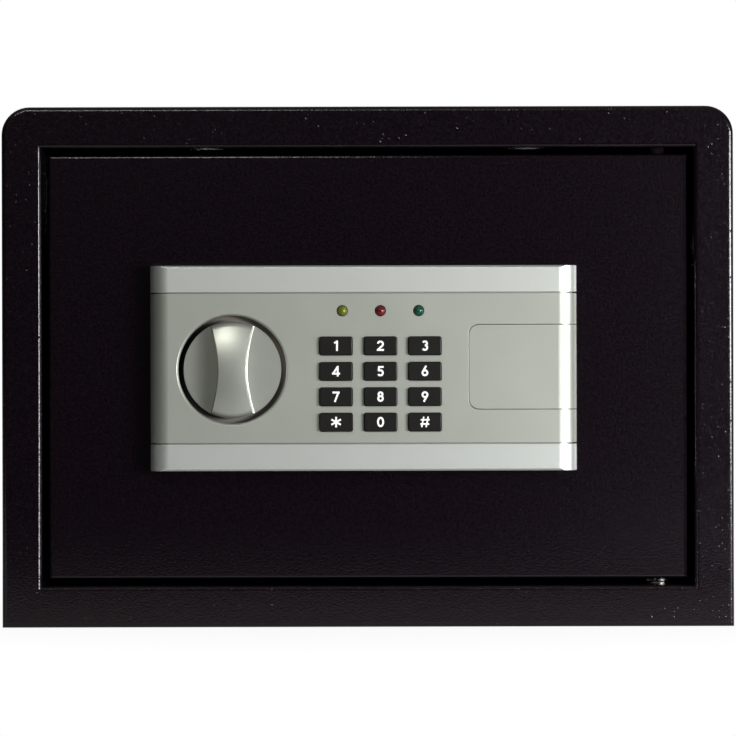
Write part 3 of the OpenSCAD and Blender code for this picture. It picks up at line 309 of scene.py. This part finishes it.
def brass():
    s = Shade("brass")
    s.set(metallic=1.0)
    s.feed(s.ramp(s.noise(140, 3), [(0.3, (0.62, 0.47, 0.20)), (0.7, (0.78, 0.62, 0.30))]),
           "Base Color")
    s.feed(s.range(s.noise(400, 2), 0.22, 0.36), "Roughness")
    s.wear(s.bump(s.noise(1500, 2, stretch=(1, 0.1, 1)), 0.00003, 0.3))
    return s.material


def copper_winding():
    """Lacquered wire: rings of turns round the coil's upright axis."""
    s = Shade("copper_winding")
    s.set(metallic=1.0, coat=0.4, coat_roughness=0.2)
    turns = s.node("ShaderNodeTexWave", bands_direction="Z", wave_profile="SIN")
    turns.inputs["Scale"].default_value = 330
    s.join(s.place, turns.inputs["Vector"])
    s.feed(s.ramp(turns.outputs["Fac"], [(0.0, (0.16, 0.05, 0.02)), (0.6, (0.72, 0.30, 0.12))]),
           "Base Color")
    s.feed(s.range(s.noise(700, 2), 0.22, 0.34), "Roughness")
    s.wear(s.bump(turns.outputs["Fac"], 0.0002, 0.8))
    return s.material


def circuit_board():
    """Green solder mask over copper tracks."""
    s = Shade("circuit_board")
    s.set(specular=0.5, coat=0.3, coat_roughness=0.2)
    tracks = s.node("ShaderNodeTexBrick")
    tracks.inputs["Color1"].default_value = (0.012, 0.110, 0.035, 1)
    tracks.inputs["Color2"].default_value = (0.018, 0.150, 0.050, 1)
    tracks.inputs["Mortar"].default_value = (0.060, 0.260, 0.090, 1)
    tracks.inputs["Scale"].default_value = 160
    tracks.inputs["Mortar Size"].default_value = 0.012
    turn = s.node("ShaderNodeMapping")
    turn.inputs["Rotation"].default_value = (math.pi / 2, 0, 0)
    s.join(s.place, turn.inputs["Vector"])
    s.join(turn.outputs["Vector"], tracks.inputs["Vector"])
    s.feed(tracks.outputs["Color"], "Base Color")
    s.feed(s.range(s.noise(500, 2), 0.3, 0.42), "Roughness")
    s.wear(s.bump(tracks.outputs["Fac"], 0.00003, 0.6))
    return s.material


def cell_jacket():
    s = Shade("cell_jacket")
    s.set(metallic=0.4, specular=0.5, coat=0.4, coat_roughness=0.12)
    s.feed(s.ramp(s.noise(45, 2), [(0.35, (0.030, 0.055, 0.110)), (0.65, (0.045, 0.080, 0.150))]),
           "Base Color")
    s.feed(s.range(s.noise(700, 2), 0.22, 0.34), "Roughness")
    s.wear(s.bump(s.noise(900, 2), 0.00003, 0.3))
    return s.material


def silicone():
    s = Shade("silicone")
    s.set(specular=0.35, subsurface=0.1, subsurface_scale=0.002)
    s.feed(s.ramp(s.noise(200, 2), [(0.3, (0.20, 0.20, 0.20)), (0.7, (0.27, 0.27, 0.27))]),
           "Base Color")
    s.feed(s.range(s.noise(800, 2), 0.5, 0.65), "Roughness")
    s.wear(s.bump(s.noise(2200, 2), 0.00003, 0.3))
    return s.material


def red_plastic():
    s = Shade("red_plastic")
    s.set(specular=0.5, coat=0.2, coat_roughness=0.2)
    s.feed(s.ramp(s.noise(300, 2), [(0.3, (0.42, 0.020, 0.018)), (0.7, (0.52, 0.032, 0.026))]),
           "Base Color")
    s.feed(s.range(s.noise(900, 2), 0.3, 0.42), "Roughness")
    s.wear(s.bump(s.noise(2600, 2), 0.00003, 0.3))
    return s.material


def felt():
    """Grey needle felt: matted fibres with a soft sheen."""
    s = Shade("felt")
    s.set(specular=0.2, sheen=0.5, sheen_roughness=0.5)
    fibres = s.noise(1100, 6, 0.75, stretch=(1, 0.35, 1))
    cross = s.noise(1300, 6, 0.75, stretch=(0.35, 1, 1))
    mix = s.maths("MAXIMUM", fibres, cross)
    s.feed(s.ramp(mix, [(0.42, (0.030, 0.031, 0.034)), (0.70, (0.105, 0.107, 0.113))]),
           "Base Color")
    s.feed(s.range(mix, 0.85, 1.0), "Roughness")
    s.wear(s.bump(mix, 0.0005, 0.8, s.bump(s.noise(140, 3), 0.0006, 0.5)))
    return s.material


FINISH = {
    "black_powder_coat": powder_coat(),
    "zinc_plated_steel": zinc_plate(),
    "felt": felt(),
    "silver_panel": silver_paint("silver_panel", (0.397, 0.415, 0.374), (0.420, 0.438, 0.397),
                                 0.47, 0.80),
    "silver_knob": silver_paint("silver_knob", (0.425, 0.443, 0.403), (0.446, 0.464, 0.424),
                                0.38, 0.72),
    "bright_silver_trim": silver_paint("bright_silver_trim", (0.625, 0.651, 0.625),
                                       (0.644, 0.670, 0.644), 0.42, 0.80),
    "black_key": key_plastic(),
    "black_plastic": dark_plastic(),
    "silicone": silicone(),
    "circuit_board": circuit_board(),
    "yellow_lamp": lamp_resin("yellow_lamp", (0.085, 0.100, 0.008), (0.130, 0.150, 0.014)),
    "red_lamp": lamp_resin("red_lamp", (0.070, 0.004, 0.005), (0.120, 0.008, 0.010)),
    "green_lamp": lamp_resin("green_lamp", (0.004, 0.040, 0.024), (0.008, 0.070, 0.042)),
    "brass": brass(),
    "copper_winding": copper_winding(),
    "cell_jacket": cell_jacket(),
    "red_button": red_plastic(),
}
PRINT = key_print()

NODE_SLOT = {name: obj.data.materials[0].name.split(".")[0]
             for name, obj in frame["nodes"].items()}
NODE_BODY = {name: obj["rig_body"] for name, obj in frame["nodes"].items()}

for name, obj in frame["nodes"].items():
    obj.data.materials[0] = FINISH[NODE_SLOT[name]]


# ---------------------------------------------------------------- mesh tools

JOIN_DIST = 0.002 * MM
FLAT_ANGLE = math.radians(0.6)


def smooth(mesh, angle=30):
    """Smooth shading, with the edges over that angle in degrees kept crisp."""
    mesh.polygons.foreach_set("use_smooth", [True] * len(mesh.polygons))
    mesh.set_sharp_from_angle(angle=math.radians(angle))


def round_edges(obj, width, segments=2, angle=32):
    """Rounds off the edges over that angle in degrees, to a width in millimetres."""
    bevel = obj.modifiers.new("edges", "BEVEL")
    bevel.limit_method = "ANGLE"
    bevel.angle_limit = math.radians(angle)
    bevel.width = width * MM
    bevel.segments = segments


def finish_mesh(obj, slot_name, body, nodes=(), material=None, angle=30):
    """Shading, the finish, the body that the piece rides on, and the nodes that it replaces."""
    smooth(obj.data, angle)
    obj.data.materials.clear()
    obj.data.materials.append(material or FINISH[slot_name])
    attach(obj, body)
    if nodes:
        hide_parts(*nodes)


def from_bmesh(name, bm):
    """A new object of that name from the bmesh, which is freed."""
    bm.normal_update()
    mesh = bpy.data.meshes.new(name)
    bm.to_mesh(mesh)
    bm.free()
    obj = bpy.data.objects.new(name, mesh)
    bpy.context.scene.collection.objects.link(obj)
    return obj


def clean_copy(node):
    """The CAD node's mesh with its points joined and its flat faces whole."""
    bm = bmesh.new()
    bm.from_mesh(frame["nodes"][node].data)
    bmesh.ops.remove_doubles(bm, verts=bm.verts[:], dist=JOIN_DIST)
    bmesh.ops.dissolve_degenerate(bm, edges=bm.edges[:], dist=JOIN_DIST)
    bmesh.ops.dissolve_limit(bm, angle_limit=FLAT_ANGLE, use_dissolve_boundaries=False,
                             verts=bm.verts[:], edges=bm.edges[:])
    return bm


def refined(node, name, width, segments=2):
    """A copy of a CAD node with its sharp edges rounded off."""
    obj = from_bmesh(name, clean_copy(node))
    finish_mesh(obj, NODE_SLOT[node], NODE_BODY[node], [node])
    round_edges(obj, width, segments)
    obj.modifiers.new("flats", "WEIGHTED_NORMAL").keep_sharp = True
    return obj


# ---------------------------------------------------------------- pieces

# Widths in millimetres to which each node's edges are rounded off.
REFINED = {
    "cabinet_wrap": 0.35, "front_frame": 0.30, "bottom_plate": 0.30, "back_plate": 0.30,
    "upper_hinge_bracket": 0.3, "lower_hinge_bracket": 0.3, "door_panel": 0.08,
    "door_pan": 0.3, "inner_cover": 0.3, "hinge_blocks": 0.5, "keypad_housing": 0.22,
    "upper_trim_band": 0.25, "lower_trim_band": 0.25, "lock_cover": 0.18,
    "lock_barrel": 0.3, "lock_plug": 0.15, "locking_bolts": 0.8, "battery_box": 0.3,
    "battery_cells": 0.5, "battery_lid": 0.3, "reset_button": 0.3,
}
PIN_EDGE, WASHER_EDGE, KEY_EDGE, LAMP_EDGE = 0.3, 0.62, 0.35, 0.05

SIDE_TILT = 0.05            # faces of the door plate that turn sideways by more are dull
RECESS_R = 25.8 * MM        # faces nearer than this to the knob's axis
RECESS_MIN_DEPTH = 1.0 * MM  # and deeper than this in the panel belong to the knob's recess

for node, width in REFINED.items():
    refined(node, node + "_skin", width)

DULL = dull_paint()
pins = refined("hinge_pins", "hinge_pins_skin", PIN_EDGE)
pins.data.materials[0] = DULL
door = bpy.data.objects["door_panel_skin"]
door.data.materials.append(DULL)
for face in door.data.polygons:
    if abs(face.normal.x) > SIDE_TILT:
        face.material_index = 1
# The washers get steel darkened as painted shade, so their glints in the hinge gap stay dim.
washers = refined("hinge_washers", "hinge_washers_skin", WASHER_EDGE, segments=5)
washers.data.materials[0] = shaded_washer_steel()

panel = bpy.data.objects["keypad_housing_skin"]
# The wall and bottom of the knob's recess get the painted shade as a second material.
panel.data.materials.append(recess_painted_shade())
knob_low, knob_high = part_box("knob_dial")
knob_centre = (knob_low + knob_high) / 2
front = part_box("keypad_housing")[0].y
for face in panel.data.polygons:
    c = face.center
    inside = math.hypot(c.x - knob_centre.x, c.z - knob_centre.z) < RECESS_R
    if inside and c.y > front + RECESS_MIN_DEPTH:
        face.material_index = 1


# ---------------------------------------------------------------- screws

SCREW_EDGE = 0.12
SCREW_APART = 9 * MM        # points nearer than this belong to the same head
FACE_TOL = 0.01 * MM        # points nearer than this to the heads' top lie on it
CROSS_REACH, CROSS_HALF, CROSS_DEPTH = 2.1 * MM, 0.5 * MM, 1.2 * MM
CROSS_OVER = 0.4 * MM       # how far the cutting tool stands out of the head
CROSS_BOTTOM, CROSS_TOP = 0.45, 1.1     # the tool's scale at its bottom and at its top
CROSS_NARROWER = 0.98       # the upright bar's width against the level one's


def cross_tool(centre, reach, half, depth):
    """A tool that cuts a cross recess into a screw head that faces +Y."""
    bm = bmesh.new()
    ends = ((centre.y - depth, CROSS_BOTTOM), (centre.y + CROSS_OVER, CROSS_TOP))
    for wide, high in ((reach, half), (half * CROSS_NARROWER, reach)):
        corners = [(centre.x + x * wide * taper, y, centre.z + z * high * taper)
                   for y, taper in ends
                   for x, z in ((-1, -1), (1, -1), (1, 1), (-1, 1))]
        v = [bm.verts.new(corner) for corner in corners]
        for quad in ((3, 2, 1, 0), (4, 5, 6, 7), (0, 1, 5, 4), (1, 2, 6, 5), (2, 3, 7, 6),
                     (3, 0, 4, 7)):
            bm.faces.new([v[i] for i in quad])
    bmesh.ops.recalc_face_normals(bm, faces=bm.faces[:])
    return from_bmesh("cutter", bm)


def cover_screws():
    """The six pan-head screws of the inner cover, and the tools for their cross recesses."""
    bm = clean_copy("cover_screws")
    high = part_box("cover_screws")[1]
    places = []
    for vert in bm.verts:
        if high.y - vert.co.y < FACE_TOL:
            near = [p for p in places
                    if math.hypot(p[0] - vert.co.x, p[1] - vert.co.z) < SCREW_APART]
            if near:
                near[0][2].append(vert.co.copy())
            else:
                places.append([vert.co.x, vert.co.z, [vert.co.copy()]])
    screws = from_bmesh("cover_screws_skin", bm)
    finish_mesh(screws, "zinc_plated_steel", "door", ["cover_screws"])
    tools = []
    for _, _, rim in places:
        centre = sum(rim, Vector()) / len(rim)
        tools.append(cross_tool(centre, CROSS_REACH, CROSS_HALF, CROSS_DEPTH))
    return screws, tools


def apply_cuts(obj, tools):
    """Takes the tools' shapes out of the piece and removes the tools."""
    for tool in tools:
        cut = obj.modifiers.new("cut", "BOOLEAN")
        cut.operation = "DIFFERENCE"
        cut.solver = "EXACT"
        cut.use_self = True
        cut.object = tool
    graph = bpy.context.evaluated_depsgraph_get()
    mesh = bpy.data.meshes.new_from_object(obj.evaluated_get(graph))
    obj.modifiers.clear()
    obj.data = mesh
    for tool in tools:
        bpy.data.objects.remove(tool, do_unlink=True)
    smooth(obj.data)
    round_edges(obj, SCREW_EDGE)


apply_cuts(*cover_screws())


# ---------------------------------------------------------------- felt mat

# Millimetres: the anchor holes, the finer squares of mesh round them, the mat's soft rim, the
# drop of the holes' edges and of the top, and how much thinner it is than the CAD mat.
MAT = {"hole_x": 100.0, "hole_r": 6.5, "square": 9.0, "rim": 2.0, "rim_drop": 0.9,
       "hole_drop": 0.25, "top_drop": 0.32, "thinner": 1.5}
SQUARE_CELLS = 6


def spaced(*parts):
    """Places along an axis: (from, to, number of spaces) after one another."""
    places = [parts[0][0]]
    for start, end, count in parts:
        places += [start + (end - start) * (i + 1) / count for i in range(count)]
    return places


def felt_mat():
    """The floor mat as one gently waved sheet with a round hole over each floor anchor."""
    low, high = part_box("floor_mat")
    low, high = low / MM, high / MM
    hole_x, hole_r, square, edge = MAT["hole_x"], MAT["hole_r"], MAT["square"], MAT["rim"]
    n = SQUARE_CELLS
    xs = spaced((low.x, low.x + edge, 2), (low.x + edge, -hole_x - square, 14),
                (-hole_x - square, -hole_x + square, n), (-hole_x + square, hole_x - square, 40),
                (hole_x - square, hole_x + square, n), (hole_x + square, high.x - edge, 14),
                (high.x - edge, high.x, 2))
    ys = spaced((low.y, low.y + edge, 2), (low.y + edge, -square, 22), (-square, square, n),
                (square, high.y - edge, 24), (high.y - edge, high.y, 2))

    def height(x, y):
        """The mat's top in millimetres: two faint crossing waves and a rim that falls away."""
        wave = 0.16 * math.sin(x / 23 + y / 41) + 0.14 * math.sin(y / 17 - x / 60 + 1)
        rim = min(x - low.x, high.x - x, y - low.y, high.y - y)
        drop = MAT["rim_drop"] * max(0.0, 1 - rim / edge) ** 2
        return high.z - MAT["top_drop"] + wave - drop

    bm = bmesh.new()
    grid = {}

    def vert(i, j):
        if (i, j) not in grid:
            x, y = xs[i], ys[j]
            grid[i, j] = bm.verts.new((x * MM, y * MM, height(x, y) * MM))
        return grid[i, j]

    for i in range(len(xs) - 1):
        for j in range(len(ys) - 1):
            cx, cy = (xs[i] + xs[i + 1]) / 2, (ys[j] + ys[j + 1]) / 2
            if abs(abs(cx) - hole_x) < square and abs(cy) < square:
                continue
            bm.faces.new((vert(i, j), vert(i + 1, j), vert(i + 1, j + 1), vert(i, j + 1)))
    for side in (-1, 1):
        i0 = min(range(len(xs)), key=lambda i: abs(xs[i] - side * hole_x + square))
        j0 = min(range(len(ys)), key=lambda j: abs(ys[j] + square))
        ring = ([(i0 + k, j0) for k in range(n)] + [(i0 + n, j0 + k) for k in range(n)]
                + [(i0 + n - k, j0 + n) for k in range(n)] + [(i0, j0 + n - k) for k in range(n)])
        inner = []
        for i, j in ring:
            dx, dy = xs[i] - side * hole_x, ys[j]
            scale = hole_r / math.hypot(dx, dy)
            x, y = side * hole_x + dx * scale, dy * scale
            z = height(x, y) - MAT["hole_drop"]
            inner.append(bm.verts.new((x * MM, y * MM, z * MM)))
        for k in range(len(ring)):
            after = (k + 1) % len(ring)
            bm.faces.new((vert(*ring[k]), vert(*ring[after]), inner[after], inner[k]))
    bmesh.ops.recalc_face_normals(bm, faces=bm.faces[:])
    if sum(face.normal.z for face in bm.faces) < 0:
        bmesh.ops.reverse_faces(bm, faces=bm.faces[:])
    mat = from_bmesh("felt_mat", bm)
    finish_mesh(mat, "felt", "cabinet", ["floor_mat"], angle=50)
    thick = mat.modifiers.new("thickness", "SOLIDIFY")
    thick.thickness = (high.z - low.z - MAT["thinner"]) * MM
    thick.offset = -1


felt_mat()


# ---------------------------------------------------------------- knob

# Millimetres, but for taper, a power, and for roll_from and roll_len, shares of the half length.
KNOB = {"dial_r": 23.3, "height": 11.0, "arch": 4.5, "end_w": 19.6, "waist_w": 12.5,
        "taper": 1.7, "flare": 0.8, "crown": 0.35, "margin": 0.25, "roll": 4.6,
        "roll_from": 0.91, "roll_len": 0.09, "root": 1.0, "edge": 0.24}
ALONG, ACROSS, DIAL_STEPS = 84, 40, 96


def grip_point(s, t):
    """A point of the grip's skin in millimetres: s runs along the grip, t across it."""
    k = KNOB
    half = k["waist_w"] / 2 + (k["end_w"] - k["waist_w"]) / 2 * abs(s) ** k["taper"]
    end = max(0.0, abs(s) - k["roll_from"]) / k["roll_len"]
    top = k["height"] - k["arch"] * s * s - k["roll"] * end ** 2
    w = max(0.0, 2 * abs(t) - 1)
    if w == 0:
        x = half * 2 * t
        h = top - k["crown"] * 4 * t * t
    else:
        x = math.copysign(half + k["flare"] * w ** 3, t)
        h = (top - k["crown"]) * (1 - w) ** 2
    reach = math.sqrt(max((k["dial_r"] - k["margin"]) ** 2 - x * x, 0.0))
    return x, h, s * reach


def knob():
    """The saddle-shaped grip and the dial that it stands on."""
    k = KNOB
    low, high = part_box("knob_dial")
    x0, z0 = (low.x + high.x) / 2, (low.z + high.z) / 2
    face = low.y + k["height"] * MM

    bm = bmesh.new()
    along, across = ALONG, ACROSS
    skin, root = [], []
    for i in range(along + 1):
        row = []
        for j in range(across + 1):
            x, h, z = grip_point(2 * i / along - 1, 2 * j / across - 1)
            row.append(bm.verts.new((x0 + x * MM, face - h * MM, z0 + z * MM)))
        skin.append(row)
        root.append([bm.verts.new((v.co.x, face + k["root"] * MM, v.co.z)) for v in row])
    for i in range(along):
        for j in range(across):
            bm.faces.new((skin[i][j], skin[i + 1][j], skin[i + 1][j + 1], skin[i][j + 1]))
            bm.faces.new((root[i][j], root[i][j + 1], root[i + 1][j + 1], root[i + 1][j]))
    for i in range(along):
        for j in (0, across):
            bm.faces.new((skin[i][j], root[i][j], root[i + 1][j], skin[i + 1][j]))
    for j in range(across):
        for i in (0, along):
            bm.faces.new((skin[i][j], root[i][j], root[i][j + 1], skin[i][j + 1]))
    bmesh.ops.recalc_face_normals(bm, faces=bm.faces[:])
    grip = from_bmesh("knob_grip", bm)
    finish_mesh(grip, "silver_knob", "knob", angle=35)
    round_edges(grip, k["edge"], angle=38)

    r = k["dial_r"]
    rim = [(0, 0), (r - 0.12, 0), (r, 0.12), (r, 3.1), (r - 0.3, 3.4)]
    hub = [(9.0, 3.4), (9.0, 7.5), (8.7, 7.8)]
    bore = [(5.3, 7.8), (5.1, 7.6), (5.1, 1.8), (0, 1.8)]
    dial = turned("knob_disc", rim + hub + bore, (x0, face, z0), DIAL_STEPS)
    finish_mesh(dial, "silver_knob", "knob", ["knob_dial"])


def turned(name, profile, centre, steps):
    """A solid turned round Y: profile is (radius, depth behind centre) in millimetres."""
    bm = bmesh.new()
    rings = []
    for r, y in profile:
        if r == 0:
            rings.append([bm.verts.new((centre[0], centre[1] + y * MM, centre[2]))])
            continue
        turn = [2 * math.pi * i / steps for i in range(steps)]
        rings.append([bm.verts.new((centre[0] + r * MM * math.cos(a), centre[1] + y * MM,
                                    centre[2] + r * MM * math.sin(a))) for a in turn])
    for a, b in zip(rings, rings[1:]):
        for i in range(steps):
            j = (i + 1) % steps
            corners = [a[i % len(a)], a[j % len(a)], b[j % len(b)], b[i % len(b)]]
            unique = list(dict.fromkeys(corners))
            if len(unique) > 2:
                bm.faces.new(unique)
    bmesh.ops.recalc_face_normals(bm, faces=bm.faces[:])
    return from_bmesh(name, bm)


knob()


# ---------------------------------------------------------------- keys

KEYS = ["1", "2", "3", "4", "5", "6", "7", "8", "9", "star", "0", "hash"]
GLYPH_H = 5.0 * MM
GLYPH_PROUD = 0.05 * MM
GLYPH_DEPTH = 4 * GLYPH_PROUD
GLYPH_MIDDLE = 0.48         # share of the height that lies on the key's centre
STROKE_RISE = 0.04          # each stroke stands this share of its depth above the one before


def bow(x, z, r, start, stop, tall=1.0, steps=18):
    """Points on an arc, in glyph heights and degrees."""
    turn = [math.radians(start + (stop - start) * i / steps) for i in range(steps + 1)]
    return [(x + r * math.cos(a), z + tall * r * math.sin(a)) for a in turn]


SIX = [bow(0, 0.33, 0.235, 0, 360), [(-0.20, 0.45), (0.12, 1.0)]]
STROKES = {
    "0": [bow(0, 0.5, 0.25, 0, 360, 1.6, 28)],
    "1": [[(0.10, 0.0), (0.10, 1.0)], [(0.14, 0.93), (-0.16, 0.75)]],
    "2": [bow(0.0, 0.66, 0.24, 172, -38) + [(-0.24, 0.10)], [(-0.34, 0.10), (0.33, 0.10)]],
    "3": [bow(0, 0.705, 0.195, 155, -90), bow(0, 0.315, 0.22, 90, -150)],
    "4": [[(0.16, 0.0), (0.16, 1.0)], [(0.16, 0.92), (-0.28, 0.27)], [(-0.37, 0.27), (0.38, 0.27)]],
    "5": [[(-0.20, 0.90), (0.30, 0.90)], [(-0.13, 0.94), (-0.17, 0.50)],
          bow(-0.01, 0.335, 0.24, 128, -150)],
    "6": SIX,
    "7": [[(-0.34, 0.90), (0.34, 0.90)], [(0.22, 0.92), (-0.12, 0.0)]],
    "8": [bow(0, 0.715, 0.185, 0, 360), bow(0, 0.315, 0.22, 0, 360)],
    "9": [[(-x, 1 - z) for x, z in line] for line in SIX],
    "star": [[(0, 0.0), (0, 1.0)], [(-0.45, 0.25), (0.45, 0.75)], [(-0.45, 0.75), (0.45, 0.25)]],
    "hash": [[(-0.32, 0.0), (-0.12, 1.0)], [(0.10, 0.0), (0.30, 1.0)],
             [(-0.42, 0.70), (0.44, 0.70)], [(-0.46, 0.30), (0.40, 0.30)]],
}
STROKE_W = 0.178
THIN_STROKE_W = {"star": 0.17, "hash": 0.14}


def add_stroke(bm, line, width, place, rise):
    """A flat raised stroke along a line, with mitred bends, as one closed solid."""
    closed = math.dist(line[0], line[-1]) < 1e-6
    points = line[:-1] if closed else line
    count = len(points)
    rings = []
    for i, (x, z) in enumerate(points):
        if closed:
            before, after = points[i - 1], points[(i + 1) % count]
        else:
            before, after = points[max(i - 1, 0)], points[min(i + 1, count - 1)]
        into = Vector((x - before[0], z - before[1]))
        out = Vector((after[0] - x, after[1] - z))
        into = (into if into.length else out).normalized()
        out = (out if out.length else into).normalized()
        along = (into + out).normalized()
        side = Vector((-along.y, along.x)) * width / 2 / max(along.dot(into), 0.5)
        rings.append([bm.verts.new(place(x + s * side.x, z + s * side.y, deep))
                      for s, deep in ((1, rise), (-1, rise), (-1, 1), (1, 1))])
    pairs = list(zip(rings, rings[1:])) + ([(rings[-1], rings[0])] if closed else [])
    for a, b in pairs:
        for k in range(4):
            bm.faces.new((a[k], a[(k + 1) % 4], b[(k + 1) % 4], b[k]))
    if not closed:
        bm.faces.new(rings[0][::-1])
        bm.faces.new(rings[-1])


def key_cap(label):
    """A key with its figure printed on it."""
    node = "key_" + label
    refined(node, node + "_cap", KEY_EDGE, segments=3)
    low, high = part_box(node)
    centre = (low + high) / 2

    def place(x, z, deep):
        return Vector((centre.x + x * GLYPH_H,
                       low.y - GLYPH_PROUD + GLYPH_DEPTH * deep,
                       centre.z + (z - GLYPH_MIDDLE) * GLYPH_H))

    bm = bmesh.new()
    for i, line in enumerate(STROKES[label]):
        add_stroke(bm, line, THIN_STROKE_W.get(label, STROKE_W), place, -STROKE_RISE * i)
    bmesh.ops.recalc_face_normals(bm, faces=bm.faces[:])
    finish_mesh(from_bmesh("glyph_" + label, bm), "black_key", NODE_BODY[node], material=PRINT)


for label in KEYS:
    key_cap(label)

for colour in ("yellow", "red", "green"):
    refined("led_" + colour, "lamp_" + colour, LAMP_EDGE)


# ---------------------------------------------------------------- stage, light and camera

FRONT = (0, -0.125, 0.124)  # middle of the safe's front
FLOOR_HALF, FLOOR_FRONT, FLOOR_DROP = 3.0, 0.34, 0.05 * MM
FADE_FROM, FADE_TO = 0.19, 0.34     # from the middle: the floor goes from near white to white
BACK_FROM, BACK_TO = 0.13, 0.60     # behind the middle: reflections see it white by and by


def floor():
    """Pale floor with the object's shadow, pure white to the camera away from the object."""
    bm = bmesh.new()
    bmesh.ops.create_grid(bm, x_segments=8, y_segments=8, size=FLOOR_HALF)
    obj = from_bmesh("floor", bm)
    obj.location = (0, FLOOR_HALF - FLOOR_FRONT, cad_bounds[0][2] - FLOOR_DROP)
    s = Shade("floor_white")
    s.set(roughness=0.7, specular=0.2)
    s.feed(s.ramp(s.noise(2, 2), [(0.3, (0.86, 0.86, 0.86)), (0.7, (0.88, 0.88, 0.88))]),
           "Base Color")
    light = s.node("ShaderNodeLightPath")
    far = s.node("ShaderNodeVectorMath", operation="DISTANCE")
    s.join(s.place, far.inputs[0])
    far.inputs[1].default_value = (0, -obj.location.y, 0)
    shown = s.range(far.outputs["Value"], 0.93, 1.0, FADE_FROM, FADE_TO)
    split = s.node("ShaderNodeSeparateXYZ")
    s.join(s.place, split.inputs["Vector"])
    back = s.range(split.outputs["Y"], 0.0, 1.0, BACK_FROM - obj.location.y,
                   BACK_TO - obj.location.y)
    mirror = s.maths("MULTIPLY", s.maths("MAXIMUM", light.outputs["Is Glossy Ray"],
                                         light.outputs["Is Transmission Ray"]), back)
    seen = s.maths("MULTIPLY", s.maths("MAXIMUM", light.outputs["Is Camera Ray"], mirror), shown)
    white = s.node("ShaderNodeEmission")
    white.inputs["Strength"].default_value = 1.0
    mix = s.node("ShaderNodeMixShader")
    s.join(seen, mix.inputs["Fac"])
    s.join(s.shader.outputs["BSDF"], mix.inputs[1])
    s.join(white.outputs["Emission"], mix.inputs[2])
    s.join(mix.outputs["Shader"], s.tree.nodes["Material Output"].inputs["Surface"])
    obj.data.materials.append(s.material)


def world():
    """White to the camera; a dim studio, brighter behind and above, a little to the right."""
    made = bpy.data.worlds.new("studio")
    bpy.context.scene.world = made
    made.use_nodes = True
    tree = made.node_tree
    nodes, join = tree.nodes, tree.links.new
    nodes.clear()
    place = nodes.new("ShaderNodeTexCoord")
    split = nodes.new("ShaderNodeSeparateXYZ")
    join(place.outputs["Generated"], split.inputs["Vector"])

    def rise(socket, low, high, to_low, to_high):
        """A smooth step from one value to another between two values of the socket."""
        node = nodes.new("ShaderNodeMapRange")
        node.interpolation_type = "SMOOTHSTEP"
        for key, value in (("From Min", low), ("From Max", high),
                           ("To Min", to_low), ("To Max", to_high)):
            node.inputs[key].default_value = value
        join(socket, node.inputs["Value"])
        return node.outputs["Result"]

    def maths(operation, a, b):
        return math_node(tree, operation, a, b)

    behind = rise(split.outputs["Y"], 0.6, 0.95, 0.0, 0.5)
    above = rise(split.outputs["Z"], 0.3, 1.0, 0.0, 0.16)
    right = rise(split.outputs["X"], 0.3, 1.0, 0.0, 0.012)
    studio = maths("ADD", maths("MAXIMUM", behind, maths("MAXIMUM", above, right)), 0.024)
    path = nodes.new("ShaderNodeLightPath")
    mirror = maths("MULTIPLY", maths("MAXIMUM", path.outputs["Is Glossy Ray"],
                                     path.outputs["Is Transmission Ray"]),
                   rise(split.outputs["Y"], 0.7, 0.95, 0.0, 1.0))
    seen = maths("MAXIMUM", path.outputs["Is Camera Ray"], mirror)
    strength = nodes.new("ShaderNodeMix")
    strength.data_type = "FLOAT"
    join(seen, strength.inputs["Factor"])
    join(studio, strength.inputs["A"])
    strength.inputs["B"].default_value = 1.0
    sky = nodes.new("ShaderNodeBackground")
    sky.inputs["Color"].default_value = (1, 1, 1, 1)
    join(strength.outputs["Result"], sky.inputs["Strength"])
    out = nodes.new("ShaderNodeOutputWorld")
    join(sky.outputs["Background"], out.inputs["Surface"])


def softbox(name, place, size, power, colour):
    """A rectangular lamp that faces the safe's front and that the camera doesn't see."""
    light = bpy.data.lights.new(name, "AREA")
    light.shape = "RECTANGLE"
    light.size, light.size_y = size
    light.energy = power
    light.color = colour
    obj = bpy.data.objects.new(name, light)
    bpy.context.scene.collection.objects.link(obj)
    obj.location = place
    obj.rotation_euler = (Vector(FRONT) - Vector(place)).to_track_quat("-Z", "Y").to_euler()
    obj.visible_camera = False


def around(azimuth, elevation, distance):
    """A point round the front's middle: degrees to the right, degrees up, metres away."""
    a, e = math.radians(azimuth), math.radians(elevation)
    return (FRONT[0] + distance * math.sin(a) * math.cos(e),
            FRONT[1] - distance * math.cos(a) * math.cos(e),
            FRONT[2] + distance * math.sin(e))


def camera():
    """Square to the front, with the photograph's slight roll."""
    distance, view_width = 2.2, 0.3518
    aside, height, roll = 0.00012, 0.12385, 0.14
    data = bpy.data.cameras.new("camera")
    data.sensor_width = 36.0
    data.lens = data.sensor_width * distance / view_width
    obj = bpy.data.objects.new("camera", data)
    bpy.context.scene.collection.objects.link(obj)
    obj.location = (aside, FRONT[1] - distance, height)
    obj.rotation_euler = (math.pi / 2, math.radians(roll), 0)
    bpy.context.scene.camera = obj


# Name, azimuth, elevation and distance round the front's middle, size, watts and colour.
LAMPS = [
    ("key", (47, 1.5, 1.10), (0.36, 0.28), 9.6, (1, 1, 1)),
    ("wide", (47, 1.5, 1.22), (0.95, 0.28), 10.4, (1, 1, 1)),
    ("top", (-13, 31, 1.5), (0.46, 0.30), 4.6, (1.0, 0.99, 0.90)),
    ("low", (23, -19, 0.60), (0.16, 0.08), 0.07, (0.90, 0.95, 1.0)),
]

floor()
world()
for name, place, size, power, colour in LAMPS:
    softbox(name, around(*place), size, power, colour)
camera()
bpy.context.scene.view_settings.view_transform = "Standard"
